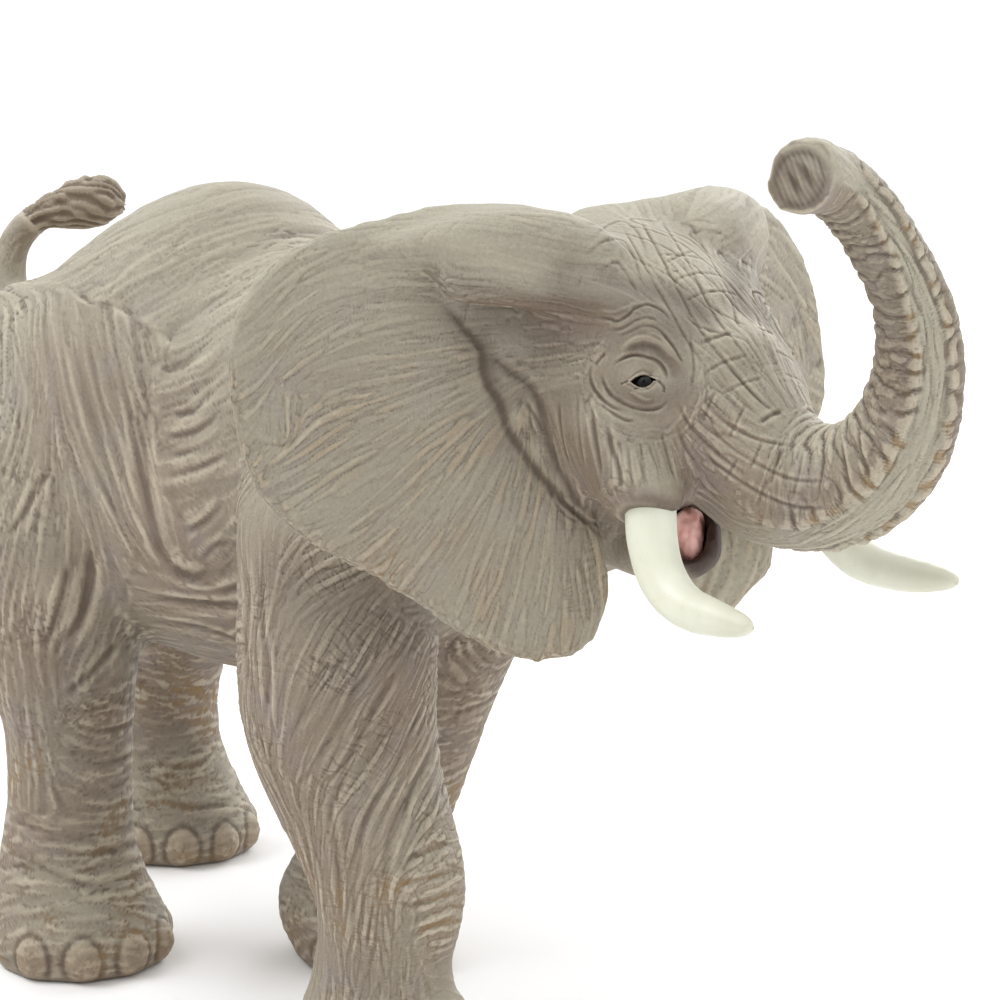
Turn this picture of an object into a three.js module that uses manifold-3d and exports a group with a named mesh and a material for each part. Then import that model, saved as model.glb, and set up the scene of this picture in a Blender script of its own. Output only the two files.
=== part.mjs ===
import * as THREE from 'three';
import Module from 'manifold-3d';

// A moulded plastic African elephant that walks with its ears spread and its trunk raised.
// It is glued together from separate mouldings: two hollow torso halves, a head, a trunk,
// a lower jaw, a tongue, two ears, two tusks, two eyes, four legs and a tail.
// X points forward, Y to the animal's left and Z up. The soles stand on Z = 0.
// All sizes are in millimetres. Tables hold shares of the named sizes that they follow.

const wasm = await Module();
wasm.setup();

// Gaps between glued mouldings
const SEAM_GAP = 0.3;
const OVERRUN = 4;

// Torso, from the flat neck face to the rump
const NECK_X = 22;
const TORSO_LENGTH = 110;
const BACK_HEIGHT = 105;
const TORSO_WIDTH = 55;
const NECK_TOP = BACK_HEIGHT * 0.933;
const NECK_BOTTOM = BACK_HEIGHT * 0.562;
const NECK_WIDTH = TORSO_WIDTH * 0.655;
const TORSO_WALL = 3;
const TORSO_SIDES = 28;
const TORSO_RINGS = 22;
const TORSO_INNER_SIDES = 14;
const TORSO_INNER_RINGS = 10;

// Where a section of the torso or the head is widest, as a share of its height
const WAIST_SHARE = 0.46;

// Torso sections from neck to rump, as shares: along TORSO_LENGTH, the back and the belly
// of BACK_HEIGHT, half the width of TORSO_WIDTH
const TORSO_SHARES = [
  [0.073, 0.928, 0.500, 0.345],
  [0.164, 0.924, 0.440, 0.392],
  [0.255, 0.916, 0.405, 0.436],
  [0.336, 0.916, 0.388, 0.470],
  [0.372, 0.926, 0.383, 0.482],
  [0.409, 0.956, 0.381, 0.492],
  [0.460, 0.993, 0.381, 0.500],
  [0.520, 0.992, 0.384, 0.498],
  [0.580, 0.970, 0.396, 0.489],
  [0.640, 0.940, 0.412, 0.476],
  [0.730, 0.886, 0.450, 0.444],
  [0.820, 0.840, 0.500, 0.385],
  [0.900, 0.806, 0.560, 0.290],
  [0.960, 0.775, 0.612, 0.175],
  [1.000, 0.725, 0.660, 0.060],
];

// Locating pins that join the torso halves, as shares of TORSO_LENGTH and BACK_HEIGHT
const PIN_RADIUS = 1.6;
const PIN_BOSS_RADIUS = 3.4;
const PIN_LENGTH = 5;
const PIN_CLEARANCE = 0.2;
const PIN_SIDES = 12;
const PIN_PLACE_SHARES = [
  [0.200, 0.860],
  [0.620, 0.890],
  [0.300, 0.450],
  [0.640, 0.480],
];

// Head, from the neck seam to the brow above the trunk
const HEAD_LENGTH = 43;
const CROWN_HEIGHT = BACK_HEIGHT * 0.995;
const HEAD_WIDTH = 36;
const HEAD_SIDES = 24;
const HEAD_RINGS = 11;

// Head sections from the neck seam forward, as shares: along HEAD_LENGTH, the top and the
// bottom of CROWN_HEIGHT, half the width of HEAD_WIDTH
const HEAD_SHARES = [
  [0.180, 0.974, 0.570, 0.505],
  [0.380, 1.000, 0.592, 0.515],
  [0.545, 0.990, 0.640, 0.475],
  [0.680, 0.962, 0.686, 0.415],
  [0.810, 0.918, 0.708, 0.355],
  [0.920, 0.868, 0.718, 0.285],
  [1.000, 0.830, 0.745, 0.190],
];

// Sheaths in which the tusks sit, from inside the cheek to the rim
const SHEATH_START_SHARES = [0.551, 0.222, 0.823];
const SHEATH_END_SHARES = [0.863, 0.369, 0.7215];
const SHEATH_START_RADIUS = 8.5;
const SHEATH_END_RADIUS = 4.6;
const SHEATH_SIDES = 14;

// Tusks, round and tapering, that leave their sheaths downwards and curve forward
const TUSK_RADIUS = 3;
const TUSK_ROOT_DEPTH = 5;
const TUSK_DROP = 10.6;
const TUSK_REACH = 18.9;
const TUSK_SPLAY = 4;
const TUSK_SIDES = 12;
const TUSK_RINGS = 12;

// Tusk centre line below the rim, as shares of TUSK_REACH, TUSK_SPLAY and TUSK_DROP,
// with the radius as a share of TUSK_RADIUS
const TUSK_SHARES = [
  [0.000, 0.000, 0.000, 0.980],
  [0.046, 0.175, 0.370, 0.965],
  [0.153, 0.375, 0.690, 0.930],
  [0.347, 0.575, 0.940, 0.860],
  [0.607, 0.750, 1.000, 0.740],
  [0.857, 0.900, 0.995, 0.550],
  [1.000, 1.000, 0.990, 0.300],
];

// Trunk centre line from inside the head to the tip, with its radii
const TRUNK_LENGTH_X = 34;
const TRUNK_HEIGHT = 36;
const TRUNK_SIDE_REACH = 22;
const TRUNK_ROOT_SHARES = [0.737, 0, 0.731];
const TRUNK_RADIUS = 10.5;
const TRUNK_SIDES = 14;
const TRUNK_RINGS = 40;
const TRUNK_FOLD_DEPTH = 0.45;
const TRUNK_SEAM_SHARE = 0.17;

// Trunk places, as shares of TRUNK_LENGTH_X, TRUNK_SIDE_REACH and TRUNK_HEIGHT, with the radius
// as a share of TRUNK_RADIUS
const TRUNK_SHARES = [
  [0.000, 0.000, 0.270, 0.950],
  [0.170, 0.010, 0.140, 0.860],
  [0.330, 0.020, 0.035, 0.770],
  [0.520, -0.055, 0.005, 0.660],
  [0.705, -0.068, 0.072, 0.600],
  [0.835, -0.063, 0.200, 0.540],
  [0.907, -0.045, 0.390, 0.460],
  [0.940, 0.045, 0.555, 0.405],
  [0.950, 0.150, 0.665, 0.368],
  [0.952, 0.295, 0.775, 0.350],
  [0.950, 0.455, 0.883, 0.338],
  [0.953, 0.682, 0.978, 0.338],
  [1.006, 1.000, 1.017, 0.352],
];

// Nostril recess in the tip of the trunk
const NOSTRIL_DEPTH = 1.6;
const NOSTRIL_RADIUS = 2.3;
const NOSTRIL_LIP_RADIUS = 3.6;

// Lower jaw, an open spoon under the trunk
const JAW_ROOT_SHARES = [0.319, 0, 0.628];
const JAW_LENGTH = 20;
const JAW_HALF_WIDTH = 7.5;
const JAW_HALF_HEIGHT = 4.4;
const JAW_SIDES = 16;
const JAW_RINGS = 9;
const JAW_DROP = 4;
const TROUGH_WIDTH_SHARE = 0.74;
const TROUGH_LIFT_SHARE = 0.85;
const TONGUE_RISE_SHARE = 1;
const TONGUE_TIP_SHARE = 0.97;

// Jaw sections, as shares of JAW_LENGTH, JAW_DROP, JAW_HALF_WIDTH and JAW_HALF_HEIGHT
const JAW_SHARES = [
  [0.000, 1.000, 0.900, 0.900],
  [0.250, 0.750, 1.000, 1.000],
  [0.500, 0.420, 0.950, 0.900],
  [0.750, 0.160, 0.800, 0.760],
  [0.920, 0.300, 0.520, 0.560],
  [1.000, 0.450, 0.220, 0.250],
];

// Ears, thin curved plates with a root tab that plugs into a slot of the head
const EAR_REACH = 36.5;
const EAR_ROOT_BOTTOM_SHARES = [0.644, 0.444, 0.538];
const EAR_ROOT_TOP_SHARES = [0.423, 0.347, 1.026];
const EAR_RIGHT_SWEEP_DEGREES = 26;
const EAR_LEFT_SWEEP_DEGREES = 23;
const EAR_CURL = 26;
const EAR_CURL_START_SHARE = 0.12;
const EAR_THICKNESS = 2.4;
const EAR_RIM_THICKNESS = 1.3;
const EAR_CUP = 2.6;
const EAR_OUTLINE_POINTS = 32;
const EAR_HUB_SHARES = [0.12, 0.56];
const EAR_RING_SHARES = [0.28, 0.56, 0.82, 1];
const EAR_ARM_RADIUS = 4.6;
const EAR_ARM_SIDES = 12;
const EAR_ARM_RINGS = 8;

// The thick upper root of the ear, as shares of EAR_REACH outwards, the root line upwards and
// EAR_ARM_RADIUS forwards, with the radius as a share of EAR_ARM_RADIUS
const EAR_ARM_SHARES = [
  [-0.260, 0.800, -0.100, 0.800],
  [-0.056, 0.880, 0.180, 0.960],
  [0.128, 0.905, 0.200, 0.860],
  [0.312, 0.905, 0.060, 0.640],
  [0.526, 0.890, -0.380, 0.240],
];

// Ear outline from the top of the root round the rim and back up the root, as shares of
// EAR_REACH outwards and of the root line upwards
const EAR_OUTLINE_SHARES = [
  [-0.060, 0.962],
  [0.100, 0.990],
  [0.300, 0.985],
  [0.500, 0.955],
  [0.700, 0.925],
  [0.855, 0.868],
  [0.960, 0.775],
  [1.000, 0.655],
  [0.990, 0.530],
  [0.940, 0.400],
  [0.810, 0.295],
  [0.635, 0.220],
  [0.470, 0.143],
  [0.310, 0.055],
  [0.150, 0.005],
  [0.020, 0.005],
  [-0.080, 0.065],
  [-0.120, 0.155],
  [-0.115, 0.250],
  [-0.085, 0.400],
  [-0.075, 0.600],
  [-0.150, 0.735],
  [-0.240, 0.850],
  [-0.200, 0.930],
];

// Legs, each from the flat sole to a rounded top that lies on the torso
const LEG_SIDES = 18;
const FRONT_LEG_HEIGHT = BACK_HEIGHT * 0.8;
const FRONT_LEG_DEPTH = 32;
const FRONT_LEG_WIDTH = 24;
const FRONT_STANCE = TORSO_WIDTH * 0.3455;
const FRONT_RIGHT_FOOT_X = NECK_X - TORSO_LENGTH * 0.009;
const FRONT_LEFT_FOOT_X = NECK_X - TORSO_LENGTH * 0.318;
const REAR_LEG_HEIGHT = BACK_HEIGHT * 0.857;
const REAR_LEG_DEPTH = 42;
const REAR_LEG_WIDTH = 24;
const REAR_STANCE = TORSO_WIDTH * 0.3636;
const REAR_RIGHT_FOOT_X = NECK_X - TORSO_LENGTH * 0.564;
const REAR_LEFT_FOOT_X = NECK_X - TORSO_LENGTH * 0.85;

// Leg sections from the sole up, as shares: height, forward of the foot by leg depth,
// outward by stance, half the depth and half the width
const FRONT_RIGHT_SHARES = [
  [0.000, 0.000, 1.000, 0.360, 0.475],
  [0.048, 0.015, 1.000, 0.375, 0.500],
  [0.095, -0.010, 1.000, 0.330, 0.440],
  [0.143, -0.035, 1.000, 0.262, 0.350],
  [0.214, 0.020, 1.000, 0.268, 0.358],
  [0.274, 0.040, 1.000, 0.285, 0.380],
  [0.345, -0.030, 1.020, 0.320, 0.420],
  [0.417, -0.140, 1.040, 0.352, 0.450],
  [0.488, -0.200, 1.070, 0.375, 0.475],
  [0.560, -0.205, 1.090, 0.395, 0.490],
  [0.643, -0.190, 1.100, 0.400, 0.480],
  [0.786, -0.250, 1.020, 0.460, 0.430],
  [0.917, -0.340, 0.880, 0.380, 0.310],
  [1.000, -0.380, 0.780, 0.180, 0.160],
];
const FRONT_LEFT_SHARES = [
  [0.000, 0.010, 0.380, 0.290, 0.385],
  [0.048, -0.020, 0.390, 0.360, 0.470],
  [0.107, -0.080, 0.420, 0.370, 0.470],
  [0.167, -0.070, 0.480, 0.310, 0.410],
  [0.238, 0.005, 0.580, 0.275, 0.365],
  [0.310, 0.070, 0.640, 0.270, 0.370],
  [0.381, 0.106, 0.690, 0.290, 0.385],
  [0.488, 0.140, 0.790, 0.340, 0.430],
  [0.620, 0.270, 0.890, 0.400, 0.470],
  [0.786, 0.500, 0.950, 0.450, 0.430],
  [0.917, 0.620, 0.870, 0.370, 0.310],
  [1.000, 0.650, 0.760, 0.180, 0.160],
];
const REAR_RIGHT_SHARES = [
  [0.000, 0.000, 1.050, 0.280, 0.480],
  [0.048, 0.010, 1.050, 0.292, 0.500],
  [0.100, -0.020, 1.050, 0.262, 0.450],
  [0.155, -0.050, 1.050, 0.228, 0.390],
  [0.222, -0.050, 1.050, 0.205, 0.355],
  [0.311, -0.020, 1.060, 0.200, 0.350],
  [0.400, -0.030, 1.082, 0.225, 0.380],
  [0.510, -0.060, 1.082, 0.320, 0.450],
  [0.630, -0.140, 1.040, 0.420, 0.490],
  [0.760, -0.260, 0.977, 0.480, 0.480],
  [0.900, -0.320, 0.830, 0.390, 0.360],
  [1.000, -0.330, 0.672, 0.190, 0.180],
];
const REAR_LEFT_SHARES = [
  [0.000, 0.000, 0.954, 0.270, 0.460],
  [0.048, 0.010, 0.954, 0.285, 0.490],
  [0.100, -0.020, 0.954, 0.250, 0.440],
  [0.155, -0.060, 0.954, 0.215, 0.370],
  [0.222, -0.075, 0.954, 0.195, 0.345],
  [0.311, -0.040, 0.945, 0.195, 0.350],
  [0.400, 0.050, 0.936, 0.225, 0.380],
  [0.510, 0.160, 0.927, 0.320, 0.450],
  [0.630, 0.260, 0.891, 0.420, 0.490],
  [0.760, 0.320, 0.837, 0.480, 0.480],
  [0.900, 0.350, 0.711, 0.390, 0.360],
  [1.000, 0.350, 0.576, 0.190, 0.180],
];

// Toenails, low domes round the front of each foot
const NAIL_HALF_WIDTH = 2.4;
const NAIL_HALF_HEIGHT = 2.7;
const NAIL_PROUD = 1.1;
const NAIL_LIFT = 3.1;
const NAIL_DEGREES = [-72, -36, 0, 36, 72];
const NAIL_WIDTH_SEGMENTS = 8;
const NAIL_HEIGHT_SEGMENTS = 4;

// Pegs on the legs and the head, glued into holes of the torso
const PEG_RADIUS = 4;
const PEG_LENGTH = 9;
const PEG_ROW = 4;
const PEG_START_SHARE = 0.6;
const PEG_SIDES = 12;

// Tail, raised in a curl to a tuft
const TAIL_RADIUS = 3.4;
const TAIL_BACK = 7.5;
const TAIL_RISE = 15.5;
const TAIL_SIDE_REACH = 15;
const TAIL_ROOT_X = NECK_X - TORSO_LENGTH * 0.936;
const TAIL_ROOT_Z = BACK_HEIGHT * 0.786;
const TAIL_SIDES = 10;
const TAIL_RINGS = 18;

// Tail centre line, as shares of TAIL_BACK, TAIL_SIDE_REACH and TAIL_RISE, with the radius as a
// share of TAIL_RADIUS
const TAIL_SHARES = [
  [-0.600, 0.000, -0.200, 0.950],
  [0.000, 0.000, 0.000, 0.880],
  [0.480, 0.030, 0.200, 0.800],
  [0.640, 0.090, 0.480, 0.740],
  [0.560, 0.220, 0.740, 0.700],
  [0.260, 0.420, 0.900, 0.740],
  [-0.120, 0.620, 0.975, 1.150],
  [-0.520, 0.830, 1.000, 1.200],
  [-0.800, 0.960, 0.960, 0.450],
];

// Eyes, glossy beads set in the head
const EYE_RADIUS = 1.7;
const EYE_STEM_RADIUS = 0.9;
const EYE_STEM_LENGTH = 3;
const EYE_PLACE_SHARES = [0.807, 0.322, 0.845];
const EYE_SEGMENTS = 10;

// Shared helpers

const FORWARD = new THREE.Vector3(1, 0, 0);
const LEFT = new THREE.Vector3(0, 1, 0);
const UP = new THREE.Vector3(0, 0, 1);

// A place on the head from shares of its length, its width and the height of its crown
function headPlace([along, outward, height]) {
  return new THREE.Vector3(
    NECK_X + SEAM_GAP + along * HEAD_LENGTH,
    outward * HEAD_WIDTH,
    height * CROWN_HEIGHT,
  );
}

// One closed solid from its corners and triangles, with its faces turned outwards
function solidOf(corners, faces) {
  let volume = 0;
  faces.forEach(([a, b, c]) => {
    volume += corners[a].dot(new THREE.Vector3().crossVectors(corners[b], corners[c]));
  });
  const turned = volume < 0 ? faces.map(([a, b, c]) => [a, c, b]) : faces;
  const vertProperties = new Float32Array(corners.flatMap((corner) => corner.toArray()));
  const triVerts = new Uint32Array(turned.flat());
  return new wasm.Manifold(new wasm.Mesh({ numProp: 3, vertProperties, triVerts }));
}

// A skin over a row of rings with equal counts, closed by a fan at each end
function loft(rings) {
  const count = rings[0].length;
  const corners = rings.flat();
  const faces = [];
  for (let row = 0; row < rings.length - 1; row += 1) {
    for (let k = 0; k < count; k += 1) {
      const next = (k + 1) % count;
      const a = row * count + k;
      const b = row * count + next;
      faces.push([a, b, a + count], [b, b + count, a + count]);
    }
  }
  const middleOf = (ring) => {
    const middle = new THREE.Vector3();
    ring.forEach((corner) => middle.add(corner));
    return middle.divideScalar(count);
  };
  const first = corners.push(middleOf(rings[0])) - 1;
  const last = corners.push(middleOf(rings[rings.length - 1])) - 1;
  const lastStart = (rings.length - 1) * count;
  for (let k = 0; k < count; k += 1) {
    const next = (k + 1) % count;
    faces.push([next, k, first], [lastStart + k, lastStart + next, last]);
  }
  return solidOf(corners, faces);
}

// Rows of a table sampled along a smooth curve through them
function smoothRows(rows, samples) {
  const places = rows.map((_, index) => index);
  const curve = new THREE.CubicInterpolant(places, rows.flat(), rows[0].length);
  return Array.from({ length: samples }, (_, index) => {
    const place = (index / (samples - 1)) * (rows.length - 1);
    return Array.from(curve.evaluate(place));
  });
}

// Points round an oval with its own reach up and down
function ovalRing(middle, sideways, upwards, halfWidth, up, down, sides) {
  return Array.from({ length: sides }, (_, k) => {
    const angle = (k / sides) * Math.PI * 2;
    const height = Math.sin(angle) * (Math.sin(angle) > 0 ? up : down);
    const point = middle.clone();
    point.addScaledVector(sideways, Math.cos(angle) * halfWidth);
    return point.addScaledVector(upwards, height);
  });
}

// A tube through places with radii, its rings square to the curve
function tube(places, radii, sides, shape = () => 1) {
  const curve = new THREE.CatmullRomCurve3(places);
  const reach = new THREE.Vector3().subVectors(places[places.length - 1], places[0]);
  const across = Math.abs(reach.y) > Math.abs(reach.x) + Math.abs(reach.z) ? FORWARD : LEFT;
  return loft(places.map((place, row) => {
    const along = curve.getTangent(row / (places.length - 1));
    const upwards = new THREE.Vector3().crossVectors(along, across).normalize();
    const sideways = new THREE.Vector3().crossVectors(upwards, along).normalize();
    return Array.from({ length: sides }, (_, k) => {
      const angle = (k / sides) * Math.PI * 2;
      const radius = radii[row] * shape(row, angle);
      const point = place.clone();
      point.addScaledVector(sideways, Math.cos(angle) * radius);
      return point.addScaledVector(upwards, Math.sin(angle) * radius);
    });
  }));
}

// A round bar between two points
function bar(from, to, startRadius, endRadius, sides) {
  const along = new THREE.Vector3().subVectors(to, from);
  const shape = new THREE.CylinderGeometry(endRadius, startRadius, along.length(), sides);
  const turn = new THREE.Quaternion().setFromUnitVectors(
    new THREE.Vector3(0, 1, 0),
    along.clone().normalize(),
  );
  shape.applyQuaternion(turn);
  const middle = new THREE.Vector3().addVectors(from, to).multiplyScalar(0.5);
  shape.translate(middle.x, middle.y, middle.z);
  return fromGeometry(shape);
}

// A closed geometry with its doubled corners joined, as a solid
function fromGeometry(geometry) {
  const place = geometry.attributes.position;
  const keys = new Map();
  const corners = [];
  const indexOf = [];
  for (let k = 0; k < place.count; k += 1) {
    const corner = new THREE.Vector3().fromBufferAttribute(place, k);
    const key = corner.toArray().map((value) => Math.round(value * 1e4)).join(' ');
    if (!keys.has(key)) {
      keys.set(key, corners.push(corner) - 1);
    }
    indexOf.push(keys.get(key));
  }
  const faces = [];
  for (let k = 0; k < geometry.index.count; k += 3) {
    const face = [0, 1, 2].map((step) => indexOf[geometry.index.getX(k + step)]);
    if (new Set(face).size === 3) {
      faces.push(face);
    }
  }
  return solidOf(corners, faces);
}

function box(low, high) {
  const size = new THREE.Vector3().subVectors(high, low);
  const shape = new THREE.BoxGeometry(size.x, size.y, size.z);
  shape.translate((low.x + high.x) / 2, (low.y + high.y) / 2, (low.z + high.z) / 2);
  return fromGeometry(shape);
}

// Rows of [x, top, bottom, half width] as a solid whose rings stand across the body
function barrel(rows, sides, grow) {
  return loft(rows.map(([x, top, bottom, halfWidth]) => {
    const waist = bottom + (top - bottom) * WAIST_SHARE;
    const middle = new THREE.Vector3(x, 0, waist);
    return ovalRing(middle, LEFT, UP, halfWidth + grow, top - waist + grow,
      waist - bottom + grow, sides);
  }));
}

// Torso

const neckRow = [NECK_X, NECK_TOP, NECK_BOTTOM, NECK_WIDTH / 2];

const torsoTable = [
  neckRow,
  ...TORSO_SHARES.map(([along, top, bottom, width]) => [
    NECK_X - along * TORSO_LENGTH,
    top * BACK_HEIGHT,
    bottom * BACK_HEIGHT,
    width * TORSO_WIDTH,
  ]),
];

function torsoForm(grow, table = torsoTable, rings = TORSO_RINGS, sides = TORSO_SIDES) {
  const rows = smoothRows(table, rings);
  rows[0][0] += grow;
  rows[rows.length - 1][0] -= grow;
  return barrel(rows, sides, grow);
}

const torsoSolid = torsoForm(0);
const torsoGrown = torsoForm(SEAM_GAP);

function halfSpace(side, from) {
  const low = new THREE.Vector3(-TORSO_LENGTH * 2, from, -OVERRUN);
  const high = new THREE.Vector3(TORSO_LENGTH * 2, TORSO_WIDTH * 2, BACK_HEIGHT * 2);
  if (side < 0) {
    [low.y, high.y] = [-high.y, -low.y];
  }
  return box(low, high);
}

// Each pin stands on the right half and enters a boss of the left half
const pinPlaces = PIN_PLACE_SHARES.map(([along, height]) => new THREE.Vector3(
  NECK_X - along * TORSO_LENGTH,
  0,
  height * BACK_HEIGHT,
));

function acrossBar(place, from, to, radius) {
  const start = place.clone().setY(from);
  const end = place.clone().setY(to);
  return bar(start, end, radius, radius, PIN_SIDES);
}

function torsoHalf(side) {
  const seam = SEAM_GAP / 2;
  const inner = torsoTable.slice(0, -1);
  const hollow = torsoForm(-TORSO_WALL, inner, TORSO_INNER_RINGS, TORSO_INNER_SIDES);
  let half = torsoSolid.subtract(hollow);
  half = half.intersect(halfSpace(side, seam));
  pinPlaces.forEach((place) => {
    const boss = acrossBar(place, side * seam, side * TORSO_WIDTH / 2, PIN_BOSS_RADIUS);
    half = half.add(boss.intersect(torsoSolid));
  });
  pinPlaces.forEach((place) => {
    if (side < 0) {
      half = half.add(acrossBar(place, -SEAM_GAP, PIN_LENGTH, PIN_RADIUS));
    } else {
      const depth = PIN_LENGTH + PIN_CLEARANCE;
      half = half.subtract(acrossBar(place, 0, depth, PIN_RADIUS + PIN_CLEARANCE));
    }
  });
  return half;
}

// Legs

const legs = {
  front_right_leg: {
    shares: FRONT_RIGHT_SHARES,
    height: FRONT_LEG_HEIGHT,
    depth: FRONT_LEG_DEPTH,
    width: FRONT_LEG_WIDTH,
    x: FRONT_RIGHT_FOOT_X,
    y: -FRONT_STANCE,
  },
  front_left_leg: {
    shares: FRONT_LEFT_SHARES,
    height: FRONT_LEG_HEIGHT,
    depth: FRONT_LEG_DEPTH,
    width: FRONT_LEG_WIDTH,
    x: FRONT_LEFT_FOOT_X,
    y: FRONT_STANCE,
  },
  rear_right_leg: {
    shares: REAR_RIGHT_SHARES,
    height: REAR_LEG_HEIGHT,
    depth: REAR_LEG_DEPTH,
    width: REAR_LEG_WIDTH,
    x: REAR_RIGHT_FOOT_X,
    y: -REAR_STANCE,
  },
  rear_left_leg: {
    shares: REAR_LEFT_SHARES,
    height: REAR_LEG_HEIGHT,
    depth: REAR_LEG_DEPTH,
    width: REAR_LEG_WIDTH,
    x: REAR_LEFT_FOOT_X,
    y: REAR_STANCE,
  },
};

function legRows(leg) {
  return leg.shares.map(([height, ahead, outward, halfDepth, halfWidth]) => ({
    middle: new THREE.Vector3(
      leg.x + ahead * leg.depth,
      outward * leg.y,
      height * leg.height,
    ),
    halfDepth: halfDepth * leg.depth,
    halfWidth: halfWidth * leg.width,
  }));
}

function legForm(leg) {
  const rows = smoothRows(legRows(leg).map((row) => [
    ...row.middle.toArray(),
    row.halfDepth,
    row.halfWidth,
  ]), leg.shares.length + 1);
  return loft(rows.map(([x, y, z, halfDepth, halfWidth]) => ovalRing(
    new THREE.Vector3(x, y, z),
    FORWARD,
    LEFT,
    halfDepth,
    halfWidth,
    halfWidth,
    LEG_SIDES,
  )));
}

// A dome on the side of the foot at an angle from straight ahead
function nail(foot, degrees) {
  const angle = THREE.MathUtils.degToRad(degrees);
  const outX = Math.cos(angle);
  const outY = Math.sin(angle);
  const shape = new THREE.SphereGeometry(1, NAIL_WIDTH_SEGMENTS, NAIL_HEIGHT_SEGMENTS);
  shape.rotateX(Math.PI / 2);
  shape.scale(NAIL_PROUD * 2, NAIL_HALF_WIDTH, NAIL_HALF_HEIGHT);
  shape.rotateZ(angle);
  shape.translate(
    foot.middle.x + outX * (foot.halfDepth - NAIL_PROUD),
    foot.middle.y + outY * (foot.halfWidth - NAIL_PROUD),
    NAIL_LIFT,
  );
  return fromGeometry(shape);
}

// The peg runs from inside the leg, across its seat, into the torso
function legPeg(leg, radius, extra) {
  const rows = legRows(leg);
  const seat = rows[rows.length - PEG_ROW];
  const inward = new THREE.Vector3(0, -Math.sign(leg.y), 0);
  const from = seat.middle.clone().addScaledVector(inward, -seat.halfWidth * PEG_START_SHARE);
  const to = from.clone().addScaledVector(inward, PEG_LENGTH + extra);
  return bar(from, to, radius, radius, PEG_SIDES);
}

function legSolid(leg) {
  const foot = legRows(leg)[1];
  let solid = legForm(leg);
  NAIL_DEGREES.forEach((degrees) => {
    solid = solid.add(nail(foot, degrees));
  });
  solid = solid.subtract(torsoGrown);
  return solid.add(legPeg(leg, PEG_RADIUS, 0));
}

// Head

const headRows = smoothRows([
  [NECK_X + SEAM_GAP, NECK_TOP, NECK_BOTTOM, NECK_WIDTH / 2],
  ...HEAD_SHARES.map(([along, top, bottom, width]) => [
    NECK_X + SEAM_GAP + along * HEAD_LENGTH,
    top * CROWN_HEIGHT,
    bottom * CROWN_HEIGHT,
    width * HEAD_WIDTH,
  ]),
], HEAD_RINGS);

const sheathStart = headPlace(SHEATH_START_SHARES);
const sheathEnd = headPlace(SHEATH_END_SHARES);

function sheath(side, grow) {
  const from = sheathStart.clone();
  const to = sheathEnd.clone();
  from.y *= side;
  to.y *= side;
  return bar(from, to, SHEATH_START_RADIUS + grow, SHEATH_END_RADIUS + grow, SHEATH_SIDES);
}

function headForm(grow) {
  const rows = headRows.map((row) => [...row]);
  rows[rows.length - 1][0] += grow;
  const skull = barrel(rows, HEAD_SIDES, grow);
  return skull.add(sheath(1, grow)).add(sheath(-1, grow));
}

// The neck peg fills a hole that the two torso halves share
function neckPeg(radius, extra) {
  const height = (NECK_TOP + NECK_BOTTOM) / 2;
  const from = new THREE.Vector3(NECK_X + PEG_LENGTH, 0, height);
  const to = new THREE.Vector3(NECK_X - PEG_LENGTH - extra, 0, height);
  return bar(from, to, radius, radius, PEG_SIDES);
}

// Trunk

const trunkTable = smoothRows(TRUNK_SHARES, TRUNK_RINGS);

const trunkRoot = headPlace(TRUNK_ROOT_SHARES);

const trunkPlaces = trunkTable.map(([along, swing, rise]) => new THREE.Vector3(
  trunkRoot.x + along * TRUNK_LENGTH_X,
  trunkRoot.y - swing * TRUNK_SIDE_REACH,
  trunkRoot.z + rise * TRUNK_HEIGHT,
));

const trunkRadii = trunkTable.map((row) => row[3] * TRUNK_RADIUS);

// Every other ring stands proud on the outer side, as the folds of the skin do
function trunkFold(row, angle) {
  const outerSide = Math.max(0, Math.sin(angle));
  const fold = row % 2 === 0 ? TRUNK_FOLD_DEPTH : 0;
  return 1 + (fold * outerSide) / trunkRadii[row];
}

const trunkForm = tube(trunkPlaces, trunkRadii, TRUNK_SIDES, trunkFold);

// The flat seam between head and trunk, square to the trunk's centre line
const seamRow = Math.round(TRUNK_SEAM_SHARE * (TRUNK_RINGS - 1));
const seamPlace = trunkPlaces[seamRow];
const seamAlong = new THREE.Vector3()
  .subVectors(trunkPlaces[seamRow + 1], trunkPlaces[seamRow - 1])
  .normalize();

// A bar about the trunk's centre line from one distance past the seam to another
function seamBar(start, end, radius) {
  const from = seamPlace.clone().addScaledVector(seamAlong, start);
  const to = seamPlace.clone().addScaledVector(seamAlong, end);
  return bar(from, to, radius, radius, PEG_SIDES);
}

function nostril() {
  const tip = trunkPlaces[trunkPlaces.length - 1];
  const before = trunkPlaces[trunkPlaces.length - 3];
  const along = new THREE.Vector3().subVectors(tip, before).normalize();
  const from = tip.clone().addScaledVector(along, -NOSTRIL_DEPTH);
  const to = tip.clone().addScaledVector(along, NOSTRIL_DEPTH);
  const slope = (NOSTRIL_LIP_RADIUS - NOSTRIL_RADIUS) * 2;
  return bar(from, to, NOSTRIL_RADIUS, NOSTRIL_RADIUS + slope, PEG_SIDES);
}

// Lower jaw and tongue

const jawRoot = headPlace(JAW_ROOT_SHARES);

const jawRows = smoothRows(JAW_SHARES, JAW_RINGS).map(([along, drop, width, height]) => ({
  middle: new THREE.Vector3(
    jawRoot.x + along * JAW_LENGTH,
    0,
    jawRoot.z + drop * JAW_DROP,
  ),
  halfWidth: width * JAW_HALF_WIDTH,
  halfHeight: height * JAW_HALF_HEIGHT,
}));

function jawForm() {
  return loft(jawRows.map((row) => ovalRing(
    row.middle,
    LEFT,
    UP,
    row.halfWidth,
    row.halfHeight,
    row.halfHeight,
    JAW_SIDES,
  )));
}

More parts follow.
